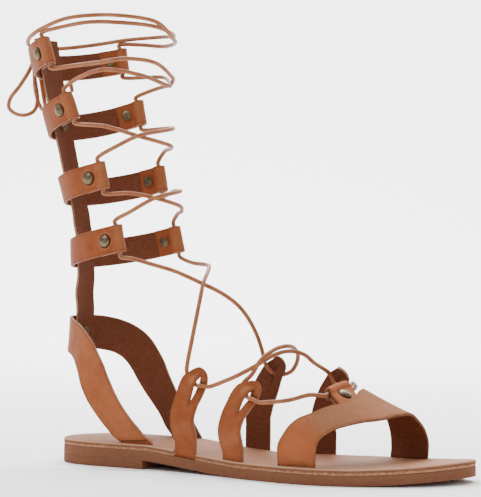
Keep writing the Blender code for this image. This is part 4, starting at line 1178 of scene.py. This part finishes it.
def sole_outline():
    """Closed plan of the sole, as even points along a smooth curve."""
    heel = [(HEEL_RADIUS * c, HEEL_RADIUS * s) for c, s in map(polar, range(90, 271, 30))]
    outer = [(x, y) for x, y, _ in SOLE_PLAN]
    inner = [(x, y) for x, _, y in reversed(SOLE_PLAN)]
    points = heel + outer + [TOE_TIP] + inner
    curve = bpy.data.curves.new("outline", "CURVE")
    curve.dimensions = "2D"
    bezier = curve.splines.new("BEZIER")
    bezier.bezier_points.add(len(points) - 1)
    for knot, (x, y) in zip(bezier.bezier_points, points):
        knot.co = (x, y, 0)
        knot.handle_left_type = "AUTO"
        knot.handle_right_type = "AUTO"
    bezier.use_cyclic_u = True
    holder = new_object("outline", curve)
    bpy.context.view_layer.update()
    line = []
    knots = list(bezier.bezier_points)
    for a, b in zip(knots, knots[1:] + knots[:1]):
        line += geometry.interpolate_bezier(a.co, a.handle_right, b.handle_left, b.co, OUTLINE_STEPS)[:-1]
    line = np.array([tuple(p)[:2] for p in line])
    bpy.data.objects.remove(holder)
    return line


def sole_layer(name, outline, bottom, profile, shader, slot, bent=True, front=None, slots=()):
    """Layer of the sole: rings of inset and height round its side, then bent over heel and toe."""
    along = np.roll(outline, -1, axis=0) - np.roll(outline, 1, axis=0)
    inward = unit(np.stack((-along[:, 1], along[:, 0]), axis=1))
    if np.dot(inward[0], np.array((90.0, 0.0)) - outline[0]) < 0:
        inward = -inward
    count = len(outline)
    verts = []
    for inset, height in profile:
        for (x, y), (nx, ny) in zip(outline, inward):
            verts.append((x + nx * inset, y + ny * inset, height))
    obj = add_mesh(name, verts, ring_faces(len(profile), count, closed=True), shader)
    bm = opened(obj.data)
    bmesh.ops.recalc_face_normals(bm, faces=bm.faces)
    if front is not None:
        cut_off = bmesh.ops.bisect_plane(bm, geom=bm.verts[:] + bm.edges[:] + bm.faces[:], dist=0.0000001,
                                         plane_co=(front * MM, 0, 0), plane_no=(1, 0, 0), clear_outer=True)
        rim = [e for e in cut_off["geom_cut"] if isinstance(e, bmesh.types.BMEdge)]
        bmesh.ops.contextual_create(bm, geom=rim)
    closed(bm, obj.data)
    for low, high in slots:
        cut_slot(obj, low, high)
    bm = opened(obj.data)
    if bent:
        for x in np.arange(*BEND_CUTS):
            wide = [f for f in bm.faces if abs(f.normal.z) > 0.99 and f.calc_area() > BEND_FACE]
            geom = set(wide)
            for f in wide:
                geom.update(f.edges)
                geom.update(f.verts)
            bmesh.ops.bisect_plane(bm, geom=list(geom), dist=0.0000001, plane_co=(x * MM, 0, 0), plane_no=(1, 0, 0))
    tree = KDTree(count)
    for k, (x, y) in enumerate(outline):
        tree.insert((x, y, 0), k)
    tree.balance()
    top = profile[-1][1]
    inset_layer = bm.verts.layers.float.new("inset")
    level_layer = bm.verts.layers.float.new("level")
    for v in bm.verts:
        x, y, z = v.co / MM
        v[inset_layer] = tree.find((x, y, 0))[2] if front is None or x < front - 0.1 else 0.0
        v[level_layer] = z / top
        rise = float(RISE(x)) if bent else 0.0
        v.co.z = (z + bottom + rise) * MM
    bmesh.ops.recalc_face_normals(bm, faces=bm.faces)
    closed(bm, obj.data)
    obj.data.shade_smooth()
    obj.data.set_sharp_from_angle(angle=math.radians(SHARP_ANGLE))
    return finish_piece(obj, slot, name)


def cut_slot(obj, low, high):
    """Slot through the insole for a strap whose base runs from low to high."""
    middle = (low + high) / 2
    run = unit((high - low) * (1, 1, 0))
    length = np.linalg.norm((high - low)[:2]) + 2 * SLOT_END_ROOM
    mesh = bpy.data.meshes.new("slot")
    bm = bmesh.new()
    bmesh.ops.create_cube(bm, size=1.0)
    bmesh.ops.scale(bm, vec=Vector((length, LEATHER + 2 * GAP, INSOLE * 4)) * MM, verts=bm.verts)
    bmesh.ops.rotate(bm, matrix=Matrix.Rotation(math.atan2(run[1], run[0]), 4, "Z"), verts=bm.verts)
    bmesh.ops.translate(bm, vec=Vector((middle[0], middle[1], 0)) * MM, verts=bm.verts)
    closed(bm, mesh)
    cutter = new_object("slot", mesh)
    boolean = obj.modifiers.new("slot", "BOOLEAN")
    boolean.operation = "DIFFERENCE"
    boolean.solver = "EXACT"
    boolean.object = cutter
    bpy.context.view_layer.update()
    cut = bpy.data.meshes.new_from_object(obj.evaluated_get(bpy.context.evaluated_depsgraph_get()))
    obj.modifiers.remove(boolean)
    bpy.data.objects.remove(cutter)
    obj.data = cut


class Shader:
    """Node material with short calls for the nodes that the leathers share."""

    def __init__(self, name, **constants):
        self.material = bpy.data.materials.new(name)
        self.material.use_nodes = True
        self.tree = self.material.node_tree
        self.bsdf = self.tree.nodes["Principled BSDF"]
        for key, value in constants.items():
            self.bsdf.inputs[key.replace("_", " ")].default_value = value
        self.place = self.tree.nodes.new("ShaderNodeTexCoord").outputs["Object"]

    def node(self, kind, **settings):
        made = self.tree.nodes.new("ShaderNode" + kind)
        for key, value in settings.items():
            setattr(made, key, value)
        return made

    def link(self, source, target):
        self.tree.links.new(source, target)

    def put(self, target, value):
        """Link a socket, or set a number or a colour."""
        if isinstance(value, bpy.types.NodeSocket):
            self.link(value, target)
        else:
            target.default_value = (*value, 1) if isinstance(value, tuple) else value

    def value(self, name):
        return self.node("Attribute", attribute_name=name).outputs["Fac"]

    def noise(self, size, detail=3.0, rough=0.55, stretch=(1, 1, 1)):
        """Noise from 0 to 1 with features of about the size in millimetres."""
        mapping = self.node("Mapping")
        mapping.inputs["Scale"].default_value = stretch
        self.link(self.place, mapping.inputs["Vector"])
        made = self.node("TexNoise")
        self.link(mapping.outputs["Vector"], made.inputs["Vector"])
        made.inputs["Scale"].default_value = 1 / (size * MM)
        made.inputs["Detail"].default_value = detail
        made.inputs["Roughness"].default_value = rough
        return made.outputs["Fac"]

    def ramp(self, value, low, high, to_low=0.0, to_high=1.0):
        """Value remapped from one range to another, held at both ends."""
        made = self.node("MapRange")
        self.link(value, made.inputs["Value"])
        for key, number in (("From Min", low), ("From Max", high), ("To Min", to_low), ("To Max", to_high)):
            made.inputs[key].default_value = number
        return made.outputs["Result"]

    def math(self, kind, a, b):
        made = self.node("Math", operation=kind)
        self.put(made.inputs[0], a)
        self.put(made.inputs[1], b)
        return made.outputs["Value"]

    def band(self, value, start, full, still, end):
        """Rises to 1 from start to full and falls to 0 from still to end."""
        return self.math("MULTIPLY", self.ramp(value, start, full), self.ramp(value, still, end, 1.0, 0.0))

    def mix(self, share, a, b):
        made = self.node("Mix", data_type="RGBA")
        self.put(made.inputs[0], share)
        self.put(made.inputs[6], a)
        self.put(made.inputs[7], b)
        return made.outputs[2]

    def bump(self, *layers):
        """Normal from layers of height, strength and distance in millimetres, each laid on the one before."""
        normal = None
        for height, strength, distance in layers:
            made = self.node("Bump")
            made.inputs["Strength"].default_value = strength
            made.inputs["Distance"].default_value = distance * MM
            self.link(height, made.inputs["Height"])
            if normal is not None:
                self.link(normal, made.inputs["Normal"])
            normal = made.outputs["Normal"]
        return normal

    def done(self, colour=None, roughness=None, normal=None):
        for key, value in (("Base Color", colour), ("Roughness", roughness), ("Normal", normal)):
            if value is not None:
                self.link(value, self.bsdf.inputs[key])
        return self.material


def strap_leather(name, colour, pale, deep, sheen_and_pale_colour, gloss, matt=0.0, cut_edge=RAW_PALE):
    """Smooth tanned leather: mottled face, pale raw edge with a dark line beside it, brown flesh side."""
    s = Shader(name, IOR=1.45, Specular_IOR_Level=gloss)
    edge = s.value("edge")
    side = s.value("side")
    ring = s.value("ring")
    cloud = s.noise(16, 3, 0.6)
    mottle = s.noise(2.2, 4, 0.62)
    pore = s.noise(0.45, 2, 0.5)
    face = s.mix(s.ramp(cloud, 0.36, 0.66), deep, colour)
    # Paler patches: painted light on the toe strap's top, painted highlights on the cuffs' folds and the side straps'
    # heads, and a paler band near the footbed
    sheen_and_pale = s.math("ADD", s.value("sheen_and_pale"), s.ramp(cloud, 0.3, 0.7, -0.12, 0.12))
    face = s.mix(s.ramp(sheen_and_pale, 0.1, 1.0), face, sheen_and_pale_colour)
    face = s.mix(s.ramp(mottle, 0.45, 0.75, 0.0, 0.3), face, pale)
    # Painted shade of the rivet's cap on the leather round it
    face = s.mix(s.ramp(ring, 3.9, 4.5, 0.75, 0.0), face, RIVET_SHADE)
    face = s.mix(s.math("MULTIPLY", s.band(ring, 4.1, 4.6, 4.8, 5.6), 0.7), face, pale)
    face = s.mix(s.math("MULTIPLY", s.band(edge, 0.25, 0.6, 0.8, 1.7), 0.4), face, EDGE_LINE)
    fibre = s.noise(0.6, 4, 0.7)
    raw = s.mix(s.ramp(fibre, 0.3, 0.7), RAW_DARK, cut_edge)
    flesh = s.mix(s.ramp(s.noise(1.1, 5, 0.7), 0.3, 0.7), FLESH_DARK, FLESH_LIGHT)
    on_face = s.ramp(side, 0.75, 1.0)
    on_flesh = s.ramp(side, -0.75, -1.0)
    shown = s.mix(on_face, raw, face)
    shown = s.mix(on_flesh, shown, flesh)
    rough = s.math("ADD", s.ramp(mottle, 0.3, 0.7, 0.46 + matt, 0.6 + matt), s.ramp(side, 0.0, 1.0, 0.3, 0.0))
    return s.done(shown, rough, s.bump((pore, 0.10, 0.10), (mottle, 0.16, 0.35), (fibre, 0.06, 0.3)))


def lace_leather():
    """Pale round lace with a faint seam, fine wrinkles and a soft gloss."""
    s = Shader("lace_leather", IOR=1.45, Specular_IOR_Level=0.15)
    cloud = s.noise(9, 3, 0.6)
    fine = s.noise(1.0, 4, 0.65)
    colour = s.mix(s.ramp(cloud, 0.35, 0.68), LACE_DARK, LACE_LIGHT)
    colour = s.mix(s.ramp(fine, 0.5, 0.8, 0.0, 0.35), colour, LACE_PALE)
    seam = s.ramp(s.value("turn"), 0.94, 1.0)
    colour = s.mix(s.math("MULTIPLY", seam, 0.45), colour, LACE_SEAM)
    return s.done(colour, s.ramp(fine, 0.3, 0.7, 0.36, 0.5), s.bump((fine, 0.14, 0.3)))


def sole_leather(name, side_dark, side_light, top_dark, top_light, line, rim=0.0):
    """Cut leather: streaked burnished side, smooth face painted paler towards the toe as painted light, a paler wavy
    line on the side and a pale upper rim that is partly the burnished edge and partly a painted highlight.

    The line ramps between two levels of the side's height, and rim is the share of the rim's own colour.
    """
    s = Shader(name, IOR=1.45, Specular_IOR_Level=0.04)
    inset = s.value("inset")
    level = s.value("level")
    streak = s.noise(1.1, 4, 0.65, (0.3, 0.3, 1.6))
    speck = s.noise(0.5, 3, 0.7)
    cloud = s.noise(22, 3, 0.6)
    wall = s.mix(s.ramp(streak, 0.32, 0.68), side_dark, side_light)
    wall = s.mix(s.ramp(speck, 0.5, 0.85, 0.0, 0.45), wall, side_light)
    wavy = s.math("ADD", level, s.ramp(s.noise(2.4, 4, 0.65), 0.3, 0.7, -0.16, 0.16))
    stripe = s.math("MULTIPLY", s.ramp(wavy, *line), s.ramp(s.noise(1.6, 3, 0.6), 0.35, 0.6, 0.25, 0.75))
    wall = s.mix(stripe, wall, SOLE_LINE)
    # Pale upper rim: partly the burnished edge, partly a painted highlight where the edge catches the light
    wall = s.mix(s.ramp(level, 0.66, 0.92, 0.0, rim), wall, SOLE_RIM)
    split = s.node("SeparateXYZ")
    s.link(s.place, split.inputs[0])
    # Painted light: the face is paler towards the toe
    lit_toe = s.ramp(split.outputs[0], 0.13, 0.215, 0.0, 0.6)
    top = s.mix(s.math("ADD", s.ramp(cloud, 0.35, 0.7, 0.0, 0.4), lit_toe), top_dark, top_light)
    top = s.mix(s.ramp(speck, 0.5, 0.85, 0.0, 0.2), top, side_light)
    shown = s.mix(s.ramp(inset, 0.25, 0.7), wall, top)
    return s.done(shown, s.ramp(cloud, 0.3, 0.7, 0.62, 0.75), s.bump((streak, 0.12, 0.2), (speck, 0.12, 0.2)))


def antique_brass():
    s = Shader("antique_brass", Metallic=0.85)
    patina = s.noise(1.5, 4, 0.6)
    scratch = s.noise(0.5, 3, 0.7, (1, 1, 0.25))
    colour = s.mix(s.ramp(patina, 0.3, 0.7), PATINA, BARE_BRASS)
    return s.done(colour, s.ramp(patina, 0.3, 0.7, 0.32, 0.5), s.bump((scratch, 0.25, 0.12)))


def camera():
    c, s = polar(CAMERA_AZIMUTH)
    look = Vector((-s, c, 0))
    data = bpy.data.cameras.new("camera")
    data.lens = CAMERA_LENS
    data.sensor_width = SENSOR
    data.clip_start = 0.05
    data.clip_end = 50
    obj = new_object("camera", data)
    rotation = look.to_track_quat("-Z", "Y").to_matrix() @ Matrix.Rotation(math.radians(CAMERA_ROLL), 3, "Z")
    obj.matrix_world = Matrix.Translation(Vector(CAMERA_PLACE) * MM) @ rotation.to_4x4()
    bpy.context.scene.camera = obj


def area_light(name, place, aim, size, power):
    data = bpy.data.lights.new(name, "AREA")
    data.shape = "RECTANGLE"
    data.size, data.size_y = size
    data.energy = power
    obj = new_object(name, data)
    obj.location = place
    obj.rotation_mode = "QUATERNION"
    obj.rotation_quaternion = (Vector(aim) - Vector(place)).to_track_quat("-Z", "Y")


def studio():
    """Pale floor that sweeps up behind the sandal, soft light from all round and a window-like key."""
    s = Shader("paper", Roughness=0.9, Specular_IOR_Level=0.1)
    grain = s.noise(3, 2, 0.5)
    paper = s.mix(s.ramp(grain, 0.4, 0.6), (0.93, 0.93, 0.93), (0.95, 0.95, 0.95))
    s.done(paper, None, s.bump((grain, 0.02, 0.05)))
    rows = [(-FLOOR_REACH, 0.0), (BEND_AT, 0.0)]
    rows += [(BEND_AT + BEND_RADIUS * math.sin(a), BEND_RADIUS - BEND_RADIUS * math.cos(a))
             for a in np.linspace(0.1, math.pi / 2, 14)]
    rows += [(BEND_AT + BEND_RADIUS, WALL_TOP)]
    across, along = polar(CAMERA_AZIMUTH)
    away = np.array((-along, across))
    right = np.array((across, along))
    verts = []
    for depth, height in rows:
        for side in (-FLOOR_REACH, FLOOR_REACH):
            x, y = away * depth + right * side
            verts.append((x / MM, y / MM, height / MM - FLOOR_DROP))
    faces = [(2 * i, 2 * i + 1, 2 * i + 3, 2 * i + 2) for i in range(len(rows) - 1)]
    floor = add_mesh("floor", verts, faces, s.material)
    world = bpy.data.worlds.new("studio")
    world.use_nodes = True
    sky = world.node_tree.nodes["Background"].inputs
    sky["Color"].default_value = (1, 1, 1, 1)
    sky["Strength"].default_value = WORLD_LIGHT
    bpy.context.scene.world = world
    for light in LIGHTS:
        area_light(*light)
    above_wall = (*(away * 1.2), 2.6)
    foot_of_wall = (*(away * (BEND_AT + BEND_RADIUS)), 0.5)
    area_light("wall", above_wall, foot_of_wall, *WALL_LIGHT)


camera()
studio()
# Each strap leather's fourth colour is its paler colour, used mostly for painted highlight and painted light
TAN = strap_leather("strap_leather", (0.262, 0.08, 0.0285), (0.335, 0.125, 0.054), (0.22, 0.06, 0.02),
                    (0.335, 0.135, 0.062), 0.1)
CUFF_TAN = strap_leather("cuff_leather", (0.218, 0.0605, 0.0205), (0.288, 0.1, 0.041),
                         (0.183, 0.0465, 0.015), (0.298, 0.113, 0.05), 0.08)
# The toe leather's fourth colour is the strap's top, painted as lit
TOE_TAN = strap_leather("toe_leather", (0.302, 0.097, 0.04), (0.355, 0.14, 0.072), (0.266, 0.077, 0.03),
                        (0.232, 0.097, 0.049), 0.015, 0.14, (0.22, 0.1, 0.055))
LACE_TAN = lace_leather()
SOLE_TAN = sole_leather("outsole_leather", (0.136, 0.055, 0.03), (0.177, 0.075, 0.042),
                        (0.20, 0.085, 0.042), (0.26, 0.125, 0.07), (1.4, 1.5))
INSOLE_TAN = sole_leather("insole_leather", (0.118, 0.044, 0.022), (0.2, 0.088, 0.047),
                          (0.19, 0.078, 0.038), (0.35, 0.175, 0.10), (0.44, 0.14), 0.8)
BRASS = antique_brass()

bow(LACE_TAN)

cuff_paths = [CuffPath(*row[1:]) for row in CUFFS]
on_spine = LIFT_TWO - LIFT_ONE + LEATHER + RIVET_CURVE_ROOM
folded = LAYER_STEP + LEATHER
for (cuff_name, *_), cuff_path in zip(CUFFS, cuff_paths):
    cuff(cuff_name, cuff_path, CUFF_TAN)
    at_fold = cuff_path.extreme - CUFF_RIVET_BACK
    for word, run, side, stack in (("outer", at_fold, -1, folded), ("inner", at_fold, 1, folded),
                                   ("back", 0.0, 1, on_spine)):
        rivet(f"rivet_{cuff_name}_{word}", *cuff_path.frame(run, LIFT_TWO, side)[:2], stack, BRASS)
spine_strap(TAN)
insole_slots = list(heel_strap(TAN))
rivet("rivet_heel_strap", heel_point(0.0, HEEL_RIVET_Z, 1, LIFT_TWO), BACKWARDS, on_spine, BRASS)
side_straps = {}
for strap_name, path_rows in SIDE_STRAPS:
    side_straps[strap_name] = SideStrap(path_rows)
    insole_slots.append(side_straps[strap_name].build(strap_name, CUFF_TAN))
toe_slots, tab_rivet, tab_mouths = toe_strap(TOE_TAN)
insole_slots += toe_slots
rivet("rivet_toe_tab", *tab_rivet, folded, BRASS)

laces = [(name, [leg_lace(cuff_paths, run, LACE_OVER * (i == over)) for i, run in enumerate(runs)])
         for name, over, *runs in LEG_LACES]
laces.append(("lace_top_wrap", [top_lace(cuff_paths, run, LACE_OVER * i) for i, run in enumerate(TOP_LACES)]))
laces += foot_laces(cuff_paths, side_straps, tab_mouths)
for lace_name, lines in laces:
    for letter, line in zip("ab", lines):
        tube(f"{lace_name}_{letter}", spline(line, TUBE_SPACING), LACE_TAN, lace_name)

plan = sole_outline()
sole_layer("outsole", plan, 0.0, OUTSOLE_SIDE, SOLE_TAN, "sole")
sole_layer("insole", plan, OUTSOLE + GAP, INSOLE_SIDE, INSOLE_TAN, "insole", slots=insole_slots)
sole_layer("heel_lift", plan, 0.0, LIFT_SIDE, SOLE_TAN, "sole", bent=False, front=HEEL_BREAST_X)
